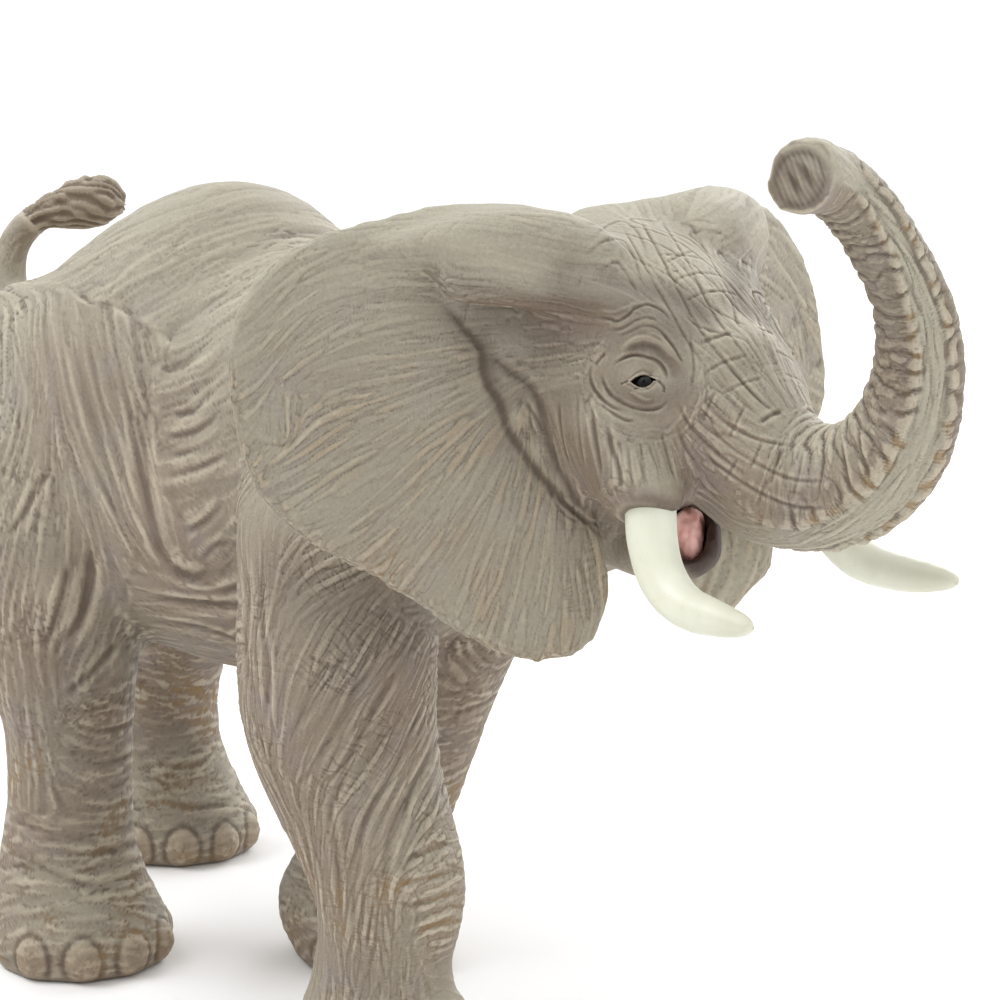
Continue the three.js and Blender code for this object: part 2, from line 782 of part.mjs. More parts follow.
// The trough and the tongue share one form, scaled about the jaw's own rows
function troughForm(grow) {
  return loft(jawRows.slice(1, -1).map((row) => {
    const middle = row.middle.clone();
    middle.x = jawRoot.x + (middle.x - jawRoot.x) * TONGUE_TIP_SHARE;
    middle.z += row.halfHeight * TROUGH_LIFT_SHARE;
    return ovalRing(
      middle,
      LEFT,
      UP,
      row.halfWidth * TROUGH_WIDTH_SHARE + grow,
      row.halfHeight * TONGUE_RISE_SHARE + grow,
      row.halfHeight + grow,
      JAW_SIDES,
    );
  }));
}

// Ears

// The root line of an ear, from its lowest to its highest place
const earRootBottom = headPlace(EAR_ROOT_BOTTOM_SHARES);
const earRootTop = headPlace(EAR_ROOT_TOP_SHARES);

// A place beside the ear's flat plane, out towards its front
function earPoint(degrees, reachShare, heightShare, out) {
  const sweep = THREE.MathUtils.degToRad(degrees);
  const reach = reachShare * EAR_REACH;
  const point = earRootBottom.clone().lerp(earRootTop, heightShare);
  point.x += out * Math.cos(sweep) - reach * Math.sin(sweep);
  point.y += out * Math.sin(sweep) + reach * Math.cos(sweep);
  return point;
}

// A place on the ear's cupped middle surface
function earPlace(degrees, reachShare, heightShare, lift) {
  const cup = EAR_CUP * Math.sin(Math.max(0, reachShare) * Math.PI);
  const curl = EAR_CURL * Math.max(0, EAR_CURL_START_SHARE - reachShare) ** 2;
  return earPoint(degrees, reachShare, heightShare, curl + lift - cup);
}

const earOutline = new THREE.CatmullRomCurve3(
  EAR_OUTLINE_SHARES.map(([reach, height]) => new THREE.Vector3(reach, height, 0)),
  true,
).getPoints(EAR_OUTLINE_POINTS).slice(0, -1);

function earForm(degrees, grow) {
  const count = earOutline.length;
  const corners = [];
  const faces = [];
  const hub = new THREE.Vector3(...EAR_HUB_SHARES, 0);
  const layers = [1, -1].map((face) => {
    const middle = corners.push(
      earPlace(degrees, hub.x, hub.y, face * (EAR_THICKNESS / 2 + grow)),
    ) - 1;
    const rings = EAR_RING_SHARES.map((ringShare) => earOutline.map((point) => {
      const place = hub.clone().lerp(point, ringShare);
      const thin = EAR_THICKNESS + (EAR_RIM_THICKNESS - EAR_THICKNESS) * ringShare ** 2;
      const corner = earPlace(degrees, place.x, place.y, face * (thin / 2 + grow));
      return corners.push(corner) - 1;
    }));
    return { middle, rings };
  });
  layers.forEach(({ middle, rings }, layer) => {
    const add = (a, b, c) => faces.push(layer === 0 ? [a, b, c] : [a, c, b]);
    for (let k = 0; k < count; k += 1) {
      const next = (k + 1) % count;
      add(middle, rings[0][k], rings[0][next]);
      for (let row = 0; row < rings.length - 1; row += 1) {
        add(rings[row][k], rings[row + 1][k], rings[row + 1][next]);
        add(rings[row][k], rings[row + 1][next], rings[row][next]);
      }
    }
  });
  const front = layers[0].rings[EAR_RING_SHARES.length - 1];
  const back = layers[1].rings[EAR_RING_SHARES.length - 1];
  for (let k = 0; k < count; k += 1) {
    const next = (k + 1) % count;
    faces.push([front[k], back[k], front[next]], [front[next], back[k], back[next]]);
  }
  return solidOf(corners, faces);
}

// The thick upper root of the ear, a taper from inside the head along the top of the ear
function earArm(degrees, grow) {
  const rows = smoothRows(EAR_ARM_SHARES, EAR_ARM_RINGS);
  const places = rows.map(([reach, height, ahead]) => (
    earPoint(degrees, reach, height, ahead * EAR_ARM_RADIUS)
  ));
  return tube(places, rows.map((row) => row[3] * EAR_ARM_RADIUS + grow), EAR_ARM_SIDES);
}

function earSolid(degrees, grow) {
  return earForm(degrees, grow).add(earArm(degrees, grow));
}

function mirrored(solid) {
  return solid.mirror([0, 1, 0]);
}

// Tusks

const tuskRows = smoothRows(TUSK_SHARES, TUSK_RINGS);

function tuskForm(grow) {
  const inward = new THREE.Vector3().subVectors(sheathStart, sheathEnd).normalize();
  const root = sheathEnd.clone().addScaledVector(inward, TUSK_ROOT_DEPTH + grow);
  const places = [root, ...tuskRows.map(([reach, splay, drop]) => new THREE.Vector3(
    sheathEnd.x + reach * TUSK_REACH,
    sheathEnd.y + splay * TUSK_SPLAY,
    sheathEnd.z - drop * TUSK_DROP,
  ))];
  const radii = [TUSK_RADIUS, ...tuskRows.map((row) => row[3] * TUSK_RADIUS)];
  return tube(places, radii.map((radius) => radius + grow), TUSK_SIDES);
}

// Tail

const tailRows = smoothRows(TAIL_SHARES, TAIL_RINGS);

function tailForm(grow) {
  const places = tailRows.map(([back, swing, rise]) => new THREE.Vector3(
    TAIL_ROOT_X - back * TAIL_BACK,
    swing * TAIL_SIDE_REACH,
    TAIL_ROOT_Z + rise * TAIL_RISE,
  ));
  return tube(places, tailRows.map((row) => row[3] * TAIL_RADIUS + grow), TAIL_SIDES);
}

// Eyes

function eyeForm(side, grow) {
  const ball = new THREE.SphereGeometry(EYE_RADIUS + grow, EYE_SEGMENTS, EYE_SEGMENTS / 2);
  const from = headPlace(EYE_PLACE_SHARES);
  from.y *= side;
  ball.translate(from.x, from.y, from.z);
  const depth = EYE_RADIUS + EYE_STEM_LENGTH + grow;
  const to = from.clone().add(new THREE.Vector3(-depth / 2, -side * depth, 0));
  const stem = bar(from, to, EYE_STEM_RADIUS + grow, EYE_STEM_RADIUS + grow, EYE_SEGMENTS / 2);
  return fromGeometry(ball).add(stem);
}

// Assembly

const headGrown = headForm(SEAM_GAP);
const pieces = {};

let torsoLeft = torsoHalf(1);
let torsoRight = torsoHalf(-1);
const torsoHoles = [
  neckPeg(PEG_RADIUS + SEAM_GAP, SEAM_GAP),
  tailForm(SEAM_GAP),
  ...Object.values(legs).map((leg) => legPeg(leg, PEG_RADIUS + SEAM_GAP, SEAM_GAP)),
];
torsoHoles.forEach((hole) => {
  torsoLeft = torsoLeft.subtract(hole);
  torsoRight = torsoRight.subtract(hole);
});
pieces.torso_left_half = torsoLeft;
pieces.torso_right_half = torsoRight;

Object.entries(legs).forEach(([name, leg]) => {
  pieces[name] = legSolid(leg).subtract(headGrown);
});

const trunkBehind = trunkForm.intersect(seamBar(-TRUNK_RADIUS * 2, -SEAM_GAP, TRUNK_RADIUS * 2));
let head = headForm(0).add(trunkBehind).add(neckPeg(PEG_RADIUS, 0));
const tuskLeft = tuskForm(0);
const tuskGrown = tuskForm(SEAM_GAP);
[
  earSolid(EAR_LEFT_SWEEP_DEGREES, SEAM_GAP),
  mirrored(earSolid(EAR_RIGHT_SWEEP_DEGREES, SEAM_GAP)),
  tuskGrown,
  mirrored(tuskGrown),
  eyeForm(1, SEAM_GAP),
  eyeForm(-1, SEAM_GAP),
  seamBar(-PEG_LENGTH - SEAM_GAP, SEAM_GAP, PEG_RADIUS + SEAM_GAP),
].forEach((cut) => {
  head = head.subtract(cut);
});
pieces.head = head;
pieces.ear_left = earSolid(EAR_LEFT_SWEEP_DEGREES, 0);
pieces.ear_right = mirrored(earSolid(EAR_RIGHT_SWEEP_DEGREES, 0));
pieces.tusk_left = tuskLeft;
pieces.tusk_right = mirrored(tuskLeft);
pieces.eye_left = eyeForm(1, 0);
pieces.eye_right = eyeForm(-1, 0);
pieces.trunk = trunkForm
  .subtract(seamBar(-TRUNK_RADIUS * 2, 0, TRUNK_RADIUS * 2))
  .subtract(nostril())
  .subtract(headGrown)
  .add(seamBar(-PEG_LENGTH, PEG_LENGTH, PEG_RADIUS));
pieces.lower_jaw = jawForm().subtract(headGrown).subtract(troughForm(SEAM_GAP));
pieces.tongue = troughForm(0).subtract(headGrown);
pieces.tail = tailForm(0);

// Colours of the mouldings

const SKIN = new THREE.MeshStandardMaterial({ color: 0xa59b8c, roughness: 0.7, metalness: 0 });
const IVORY = new THREE.MeshStandardMaterial({ color: 0xe1e4cd, roughness: 0.45, metalness: 0 });
const PINK = new THREE.MeshStandardMaterial({ color: 0xcd8c87, roughness: 0.5, metalness: 0 });
const BLACK = new THREE.MeshStandardMaterial({ color: 0x16120f, roughness: 0.12, metalness: 0 });

function materialOf(name) {
  if (name.startsWith('tusk')) {
    return IVORY;
  }
  if (name === 'tongue') {
    return PINK;
  }
  return name.startsWith('eye') ? BLACK : SKIN;
}

function meshOf(name, solid) {
  const { vertProperties, triVerts } = solid.getMesh();
  const geometry = new THREE.BufferGeometry();
  geometry.setAttribute('position', new THREE.BufferAttribute(vertProperties, 3));
  geometry.setIndex(new THREE.BufferAttribute(triVerts, 1));
  const mesh = new THREE.Mesh(geometry, materialOf(name));
  mesh.name = name;
  return mesh;
}

const elephant = new THREE.Group();
Object.entries(pieces).forEach(([name, solid]) => {
  elephant.add(meshOf(name, solid));
});

// The origin stands under the middle of the whole figure
const bounds = new THREE.Box3().setFromObject(elephant);
const middle = bounds.getCenter(new THREE.Vector3());
elephant.children.forEach((mesh) => {
  mesh.geometry.translate(-middle.x, -middle.y, -bounds.min.z);
});

export default elephant;
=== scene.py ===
import math
import bpy
import numpy as np
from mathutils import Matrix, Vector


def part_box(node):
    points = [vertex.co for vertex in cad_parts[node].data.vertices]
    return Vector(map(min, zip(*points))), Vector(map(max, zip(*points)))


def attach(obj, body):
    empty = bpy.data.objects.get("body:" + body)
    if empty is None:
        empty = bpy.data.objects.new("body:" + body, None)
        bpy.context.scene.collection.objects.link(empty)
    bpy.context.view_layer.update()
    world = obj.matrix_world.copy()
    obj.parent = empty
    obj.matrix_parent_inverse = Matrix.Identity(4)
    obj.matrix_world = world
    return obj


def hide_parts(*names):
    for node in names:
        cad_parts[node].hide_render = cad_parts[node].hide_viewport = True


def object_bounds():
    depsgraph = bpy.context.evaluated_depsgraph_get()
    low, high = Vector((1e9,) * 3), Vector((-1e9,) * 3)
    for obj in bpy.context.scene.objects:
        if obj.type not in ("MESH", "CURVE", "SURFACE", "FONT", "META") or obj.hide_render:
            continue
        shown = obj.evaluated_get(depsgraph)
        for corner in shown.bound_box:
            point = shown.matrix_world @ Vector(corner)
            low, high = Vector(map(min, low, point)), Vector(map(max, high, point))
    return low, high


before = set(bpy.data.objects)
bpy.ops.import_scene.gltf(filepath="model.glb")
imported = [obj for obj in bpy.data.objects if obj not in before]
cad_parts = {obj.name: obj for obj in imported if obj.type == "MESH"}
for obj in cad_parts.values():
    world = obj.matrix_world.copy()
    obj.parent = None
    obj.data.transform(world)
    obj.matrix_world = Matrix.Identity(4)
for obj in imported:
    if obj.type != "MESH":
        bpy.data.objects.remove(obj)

import openvdb as vdb
from mathutils import Vector
from mathutils.bvhtree import BVHTree

CAD_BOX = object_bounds()

# Body coordinates: millimetres, with the seam of the torso on y 0 and its neck at x 22
NECK_X = 22.0
SEAM_Y = 0.15
TORSO_LOW, TORSO_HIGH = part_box("torso_left_half")
SHIFT = np.array((NECK_X - TORSO_HIGH[0] * 1000, SEAM_Y - TORSO_LOW[1] * 1000, 0.0))

# Camera
CAMERA_PLACE = np.array((283.9, -244.7, 135.2))
CAMERA_AZIMUTH = math.radians(47.06)
CAMERA_ELEVATION = math.radians(10.51)
LENS = 108.0
SENSOR = 36.0
PICTURE = 1000.0
FOCAL_PIXELS = LENS / SENSOR * PICTURE
NEAR_CLIP = 0.01
FAR_CLIP = 20.0

# Directions of the camera: back from it, level and as it leans, to its right and up
LEVEL_BACK = np.array((math.sin(CAMERA_AZIMUTH), -math.cos(CAMERA_AZIMUTH), 0.0))
BACK = LEVEL_BACK * math.cos(CAMERA_ELEVATION) + (0.0, 0.0, math.sin(CAMERA_ELEVATION))
RIGHT = np.array((math.cos(CAMERA_AZIMUTH), math.sin(CAMERA_AZIMUTH), 0.0))
UP = np.cross(BACK, RIGHT)


def to_frame(points):
    return (np.asarray(points) - SHIFT) / 1000


def make_camera():
    data = bpy.data.cameras.new("camera")
    data.lens = LENS
    data.sensor_width = SENSOR
    data.sensor_fit = "HORIZONTAL"
    data.clip_start = NEAR_CLIP
    data.clip_end = FAR_CLIP
    camera = bpy.data.objects.new("camera", data)
    bpy.context.scene.collection.objects.link(camera)
    camera.location = to_frame(CAMERA_PLACE)
    camera.rotation_euler = Vector(-BACK).to_track_quat("-Z", "Y").to_euler()
    bpy.context.scene.camera = camera


def strokes(text):
    """Rows of 'measures: x,y x,y ...', whose places are pixels of the photograph, as (measures, places)."""
    rows = []
    for row in text.strip().splitlines():
        measures, _, places = row.rpartition(":")
        pixels = [tuple(float(v) for v in place.split(",")) for place in places.split()]
        rows.append(([float(v) for v in measures.split()], pixels))
    return rows


def pixels_of(text):
    return strokes(text)[0][1]


make_camera()

SMALLEST = 1e-9

# Fields: values below 0 lie inside a piece, in millimetres from its surface
VOXEL = 0.8
BAND = 5
PAD = 4.0
BLEND = 1.2
EAR_GROWTH = 0.3
TUSK_COLLAR = 0.35
EYE_SOCKET = 0.6
NODE_BOXES = [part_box(name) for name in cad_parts]
LOW = np.min([low for low, high in NODE_BOXES], axis=0) * 1000 + SHIFT - PAD
HIGH = np.max([high for low, high in NODE_BOXES], axis=0) * 1000 + SHIFT + PAD
FIRST = np.floor(LOW / VOXEL).astype(int)
SHAPE = tuple(int(v) for v in np.ceil(HIGH / VOXEL).astype(int) - FIRST + 1)
AXES = [((np.arange(SHAPE[k]) + FIRST[k]) * VOXEL).astype(np.float32) for k in range(3)]
GRID_X = AXES[0][:, None, None]
GRID_Y = AXES[1][None, :, None]
GRID_Z = AXES[2][None, None, :]

LEG_NODES = ("front_right_leg", "front_left_leg", "rear_right_leg", "rear_left_leg")
SKIN_NODES = ("torso_left_half", "torso_right_half", *LEG_NODES, "head", "ear_right", "ear_left", "trunk",
              "lower_jaw", "tail")
# How many nodes are torso, legs, head, ears, trunk, jaw and tail
KIND_COUNTS = (2, 4, 1, 2, 1, 1, 1)
INDEX = {name: index for index, name in enumerate(SKIN_NODES)}


def node_mesh(name):
    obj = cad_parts[name]
    mesh = obj.data
    mesh.calc_loop_triangles()
    points = np.empty(len(mesh.vertices) * 3, np.float32)
    mesh.vertices.foreach_get("co", points)
    matrix = np.array(obj.matrix_world)
    points = points.reshape(-1, 3) @ matrix[:3, :3].T + matrix[:3, 3]
    triangles = np.empty(len(mesh.loop_triangles) * 3, np.int32)
    mesh.loop_triangles.foreach_get("vertices", triangles)
    return points * 1000 + SHIFT, triangles.reshape(-1, 3)


def node_field(name, voxel=VOXEL, first=FIRST, shape=SHAPE):
    points, triangles = node_mesh(name)
    grid = vdb.FloatGrid.createLevelSetFromPolygons(
        points.astype(np.float32), triangles=triangles.astype(np.uint32),
        transform=vdb.createLinearTransform(voxelSize=voxel), halfWidth=BAND)
    values = np.empty(shape, np.float32)
    grid.copyToArray(values, ijk=tuple(int(v) for v in first))
    return values


def blended(a, b, width):
    overlap = np.maximum(width - np.abs(a - b), 0) / width
    return np.minimum(a, b) - overlap * overlap * width / 4


def capsule(start, end, start_radius, end_radius):
    start = np.array(start, float)
    along = np.array(end, float) - start
    away = (GRID_X - start[0], GRID_Y - start[1], GRID_Z - start[2])
    share = np.clip(sum(side * v for side, v in zip(away, along)) / along.dot(along), 0, 1)
    distance = np.sqrt(sum((side - share * v) ** 2 for side, v in zip(away, along)))
    return (distance - start_radius - share * (end_radius - start_radius)).astype(np.float32)


def past_plane(place, normal):
    sides = zip((GRID_X, GRID_Y, GRID_Z), place, normal)
    return sum((side - at) * slope for side, at, slope in sides).astype(np.float32)


def ellipsoid(middle, axes, radii, grid=None):
    px, py, pz = (side - middle[k] for k, side in enumerate(grid or (GRID_X, GRID_Y, GRID_Z)))
    shares = [(px * axis[0] + py * axis[1] + pz * axis[2]) / radius for axis, radius in zip(axes, radii)]
    size = np.sqrt(sum(share ** 2 for share in shares))
    slope = np.sqrt(sum((share / radius) ** 2 for share, radius in zip(shares, radii)))
    return (size * (size - 1) / np.maximum(slope, 1e-6)).astype(np.float32)


def chain(knots, side=1):
    """Capsules from knot to knot, given as (x, y, z, radius), on the animal's left with side 1."""
    field = None
    places = [np.multiply(knot[:3], (1, side, 1)) for knot in knots]
    for k in range(len(knots) - 1):
        part = capsule(places[k], places[k + 1], knots[k][3], knots[k + 1][3])
        field = part if field is None else blended(field, part, CHAIN_BLEND)
    return field


# Joins from knot to knot, as x, y, z and radius. SHEATH is the rolled lip over a tusk's root.
CHAIN_BLEND = 0.8
LIP = ((47.5, 6.0, 69.0, 1.0), (52.0, 4.6, 69.6, 1.0), (54.5, 1.7, 69.6, 1.05), (55.1, 0.1, 67.6, 1.1),
       (54.2, -1.1, 65.6, 1.1))
MOUTH_HOLLOW = ((52.3, 0.2, 71.8, 2.4), (52.2, 0.1, 66.9, 2.0))
MOUTH_OPENING = ((52.6, 0.0, 68.0, 1.9), (56.4, -3.7, 68.6, 1.9))
SHEATH = ((57.0, 17.6, 76.9, 0.7), (59.3, 17.1, 77.4, 0.75), (61.4, 15.8, 76.8, 0.8), (62.7, 13.9, 75.9, 0.8),
          (62.9, 12.5, 75.2, 0.8))
EAR_RIDGE = ((50.5, 11.6, 95.9, 2.0), (39.5, 24.0, 98.6, 2.6))
EAR_ROOT = ((49.5, 15.0, 63.0, 2.2), (42.5, 12.6, 97.0, 2.8))
LOBE_PLUG = ((49.2, 10.7, 67.0, 1.9), (48.0, 11.5, 75.0, 1.9))
FAR_ROOT_INNER = ((35.5, 2.0, 100.6, 4.6), (38.5, 11.0, 101.0, 5.0))
FAR_ROOT_OUTER = ((38.5, 11.0, 101.0, 5.0), (38.6, 21.0, 102.2, 4.0))

# Lower lobe of the far ear: an ellipsoid, cut off softly towards the camera's right
LOBE_MIDDLE = (49.3, 10.7, 63.6)
LOBE_AXES = ((0.5, 0.866, 0.0), (0.0, 0.0, 1.0), (0.866, -0.5, 0.0))
LOBE_RADII = (6.2, 6.8, 1.4)
LOBE_EDGE_PLACE = (50.6, 15.0, 62.6)
LOBE_EDGE_NORMAL = RIGHT * 0.874 - UP * 0.485

# Tip of the trunk: the middle of its face and the way it faces
TRUNK_TIP = np.array((87.95, -22.35, 112.5))
TIP_RADIUS = 3.6
TIP_NORMAL = np.array((0.262, -0.952, 0.158))
TIP_NECK_RADIUS = 3.2
TIP_LENGTH = 3.4

# Skin that closes round a tusk's root, up to a plane
TUSK_FILL_PLACE = (60.0, 13.4, 74.0)
TUSK_FILL_NORMAL = (0.42, 0.28, -0.86)


def head_side(head, side, name):
    """The head with one side's eye socket, tusk root, ear ridge, ear root and tusk sheath."""
    head = np.minimum(head, node_field("eye_" + name) + EYE_SOCKET)
    mirror = (1, side, 1)
    fill = past_plane(np.multiply(TUSK_FILL_PLACE, mirror), np.multiply(TUSK_FILL_NORMAL, mirror))
    head = np.minimum(head, np.maximum(node_field("tusk_" + name) - TUSK_COLLAR, fill))
    for knots, width in ((EAR_RIDGE, 3.0), (EAR_ROOT, 2.0), (SHEATH, 1.8)):
        head = blended(head, chain(knots, side), width)
    return head


def skin_fields():
    fields = {name: node_field(name) - (EAR_GROWTH if name.startswith("ear") else 0) for name in SKIN_NODES}
    head = head_side(head_side(fields["head"], -1, "right"), 1, "left")
    root = blended(chain(FAR_ROOT_INNER), chain(FAR_ROOT_OUTER), 1.0)
    fields["head"] = blended(head, root, 3.0)
    ear = blended(fields["ear_left"], ellipsoid(LOBE_MIDDLE, LOBE_AXES, LOBE_RADII), 1.6)
    ear = -blended(-ear, -past_plane(LOBE_EDGE_PLACE, LOBE_EDGE_NORMAL), 1.5)
    fields["ear_left"] = blended(ear, chain(LOBE_PLUG), 1.6)
    tip = capsule(TRUNK_TIP - TIP_LENGTH * TIP_NORMAL, TRUNK_TIP, TIP_NECK_RADIUS, TIP_RADIUS)
    fields["trunk"] = np.maximum(np.minimum(fields["trunk"], tip), past_plane(TRUNK_TIP, TIP_NORMAL))
    jaw = blended(fields["lower_jaw"], chain(LIP), 1.0)
    fields["lower_jaw"] = np.maximum(jaw, -np.minimum(chain(MOUTH_HOLLOW), chain(MOUTH_OPENING)))
    return fields


def combined(fields):
    """The whole skin's field, and the number of the nearest node at each place."""
    total = best = fields[SKIN_NODES[0]]
    label = np.zeros(SHAPE, np.uint8)
    for index, name in enumerate(SKIN_NODES[1:], 1):
        label[fields[name] < best] = index
        best = np.minimum(best, fields[name])
        total = blended(total, fields[name], BLEND)
    return total, label


def surface_of(field, voxel, first):
    grid = vdb.FloatGrid(background=float(voxel * BAND))
    grid.transform = vdb.createLinearTransform(voxelSize=voxel)
    grid.copyFromArray(np.ascontiguousarray(field, np.float32), ijk=tuple(int(v) for v in first))
    grid.gridClass = vdb.GridClass.LEVEL_SET
    points, quads = grid.convertToQuads(isovalue=0.0)
    points = np.asarray(points, float)
    quads = np.asarray(quads, np.int64)
    a, b, c, d = (points[quads[:, k]] for k in range(4))
    if (a * (np.cross(b, c) + np.cross(c, d))).sum() < 0:
        quads = quads[:, ::-1]
    return points, quads


def unit(vectors):
    return vectors / np.maximum(np.linalg.norm(vectors, axis=-1, keepdims=True), SMALLEST)


def edges_of(quads):
    count = quads.max() + 1
    pairs = np.concatenate([quads[:, (k, (k + 1) % 4)] for k in range(4)])
    pairs.sort(axis=1)
    keys = np.unique(pairs[:, 0] * count + pairs[:, 1])
    return np.stack((keys // count, keys % count), 1)


def largest_part(points, quads):
    edges = edges_of(quads)
    label = np.arange(len(points))
    while True:
        low = np.minimum(label[edges[:, 0]], label[edges[:, 1]])
        new = label.copy()
        np.minimum.at(new, edges[:, 0], low)
        np.minimum.at(new, edges[:, 1], low)
        new = new[new]
        if np.array_equal(new, label):
            break
        label = new
    names, counts = np.unique(label, return_counts=True)
    keep = label == names[counts.argmax()]
    number = np.cumsum(keep) - 1
    return points[keep], number[quads[keep[quads[:, 0]]]]


class Averager:
    """Neighbour averaging over a mesh's edges."""

    def __init__(self, count, quads):
        self.edges = edges_of(quads)
        self.count = count
        self.degree = np.maximum(np.bincount(self.edges.ravel(), minlength=count).astype(float), 1)

    def __call__(self, values, rounds, strength=0.8):
        values = np.array(values, float)
        flat = values.ndim == 1
        if flat:
            values = values[:, None]
        strength = np.broadcast_to(np.asarray(strength, float), (self.count,))[:, None]
        a, b = self.edges[:, 0], self.edges[:, 1]
        for _ in range(rounds):
            total = np.empty_like(values)
            for k in range(values.shape[1]):
                column = values[:, k]
                total[:, k] = np.bincount(a, column[b], self.count) + np.bincount(b, column[a], self.count)
            values += strength * (total / self.degree[:, None] - values)
        return values[:, 0] if flat else values


def shrunk_back(average, points, rounds, strength):
    """Smoothing whose second pass tells how much the first one shrank the form."""
    once = average(points, rounds, strength)
    return 2 * once - average(once, rounds, strength)


def voxel_value(volume, points):
    index = np.clip(np.rint(points / VOXEL).astype(int) - FIRST, 0, np.array(SHAPE) - 1)
    return volume[tuple(index.T)]


def between(volume, place):
    """Values of a volume at places that lie between its own, by the eight corners round each."""
    base = np.clip(np.floor(place).astype(int), 0, np.array(volume.shape[:3]) - 2)
    share = np.clip(place - base, 0, 1)
    result = 0
    for corner in np.ndindex(2, 2, 2):
        weight = np.abs(1 - np.array(corner) - share).prod(1)
        result = result + (weight * volume[tuple((base + corner).T)].T).T
    return result


# How enclosed a place is, which sets the painted shade: the share of solid round about, over this reach
ENCLOSED_REACH = 7.0


def enclosure(field):
    solid = np.fft.rfftn((field < 0).astype(np.float32))
    rates = np.ix_(*(np.fft.fftfreq(count, VOXEL) for count in SHAPE[:2]), np.fft.rfftfreq(SHAPE[2], VOXEL))
    square = sum(rate ** 2 for rate in rates)
    gain = np.exp(-2 * (math.pi * ENCLOSED_REACH) ** 2 * square)
    return np.fft.irfftn(solid * gain, s=SHAPE).astype(np.float32)


def mesh_of(name, points, corners, starts):
    mesh = bpy.data.meshes.new(name)
    mesh.vertices.add(len(points))
    mesh.vertices.foreach_set("co", np.ascontiguousarray(points, np.float32).ravel())
    mesh.loops.add(len(corners))
    mesh.loops.foreach_set("vertex_index", np.ascontiguousarray(corners, np.int32))
    mesh.polygons.add(len(starts))
    mesh.polygons.foreach_set("loop_start", np.ascontiguousarray(starts, np.int32))
    mesh.update(calc_edges=True)
    return mesh


def subdivided(points, quads):
    mesh = mesh_of("work", points, quads.ravel(), np.arange(0, quads.size, 4))
    obj = bpy.data.objects.new("work", mesh)
    bpy.context.scene.collection.objects.link(obj)
    modifier = obj.modifiers.new("subdivide", "SUBSURF")
    modifier.levels = 1
    result = obj.evaluated_get(bpy.context.evaluated_depsgraph_get()).data
    fine = np.empty(len(result.vertices) * 3, np.float32)
    result.vertices.foreach_get("co", fine)
    loops = np.empty(len(result.loops), np.int32)
    result.loops.foreach_get("vertex_index", loops)
    bpy.data.objects.remove(obj)
    bpy.data.meshes.remove(mesh)
    return fine.reshape(-1, 3).astype(float), loops.reshape(-1, 4).astype(np.int64)


def normals_of(points, quads):
    face = np.cross(points[quads[:, 2]] - points[quads[:, 0]], points[quads[:, 3]] - points[quads[:, 1]])
    normal = np.zeros_like(points)
    for k in range(4):
        for axis in range(3):
            normal[:, axis] += np.bincount(quads[:, k], face[:, axis], len(points))
    return unit(normal)


# New points that fall together are found by whole numbers
KEYS_PER_MM = 2000
KEY_SPAN = 2 ** 20


def refined(points, quads, chosen, parts, ties):
    """The chosen quads in parts x parts smaller ones. A tie is a new point on an edge that stays coarse,
    given by its number, the edge's two ends and its share of the way along."""
    count = len(points)
    steps = np.arange(parts + 1) / parts
    inner = quads[chosen]
    outer = quads[~chosen]
    u, v = np.meshgrid(steps, steps, indexing="ij")
    weights = np.stack(((1 - u) * (1 - v), u * (1 - v), u * v, (1 - u) * v), -1).reshape(-1, 4)
    grid = np.einsum("wk,qkc->qwc", weights, points[inner]).reshape(-1, 3)
    keys = np.round(grid * KEYS_PER_MM).astype(np.int64)
    keys = (keys[:, 0] * KEY_SPAN + keys[:, 1]) * KEY_SPAN + keys[:, 2]
    _, first, inverse = np.unique(keys, return_index=True, return_inverse=True)
    new_points = grid[first]
    ids = inverse.ravel().reshape(len(inner), parts + 1, parts + 1)
    number = np.arange(len(new_points)) + count
    number[ids[:, [0, parts, parts, 0], [0, 0, parts, parts]].ravel()] = inner.ravel()
    ids = number[ids]
    small = np.stack((ids[:, :-1, :-1], ids[:, 1:, :-1], ids[:, 1:, 1:], ids[:, :-1, 1:]), -1).reshape(-1, 4)
    pairs = np.sort(np.concatenate([outer[:, (k, (k + 1) % 4)] for k in range(4)]), axis=1)
    outer_keys = np.unique(pairs[:, 0] * count + pairs[:, 1])
    found = [ties]
    # Each edge's two corners, and where its points lie in the grid
    for a, b, row, column in ((0, 1, None, 0), (1, 2, parts, None), (3, 2, None, parts), (0, 3, 0, None)):
        ends = np.sort(inner[:, (a, b)], axis=1)
        border = np.isin(ends[:, 0] * count + ends[:, 1], outer_keys)
        for step in range(1, parts):
            middle = ids[border, step if row is None else row, step if column is None else column]
            share = np.full(len(middle), step / parts)
            found.append(np.stack((middle, inner[border, a], inner[border, b], share), 1))
    found = np.concatenate(found)
    all_quads = np.concatenate((outer, small))
    used = np.unique(all_quads)
    renumber = np.full(count + len(new_points), -1)
    renumber[used] = np.arange(len(used))
    found[:, :3] = renumber[found[:, :3].astype(int)]
    return np.concatenate((points, new_points))[used], renumber[all_quads], found


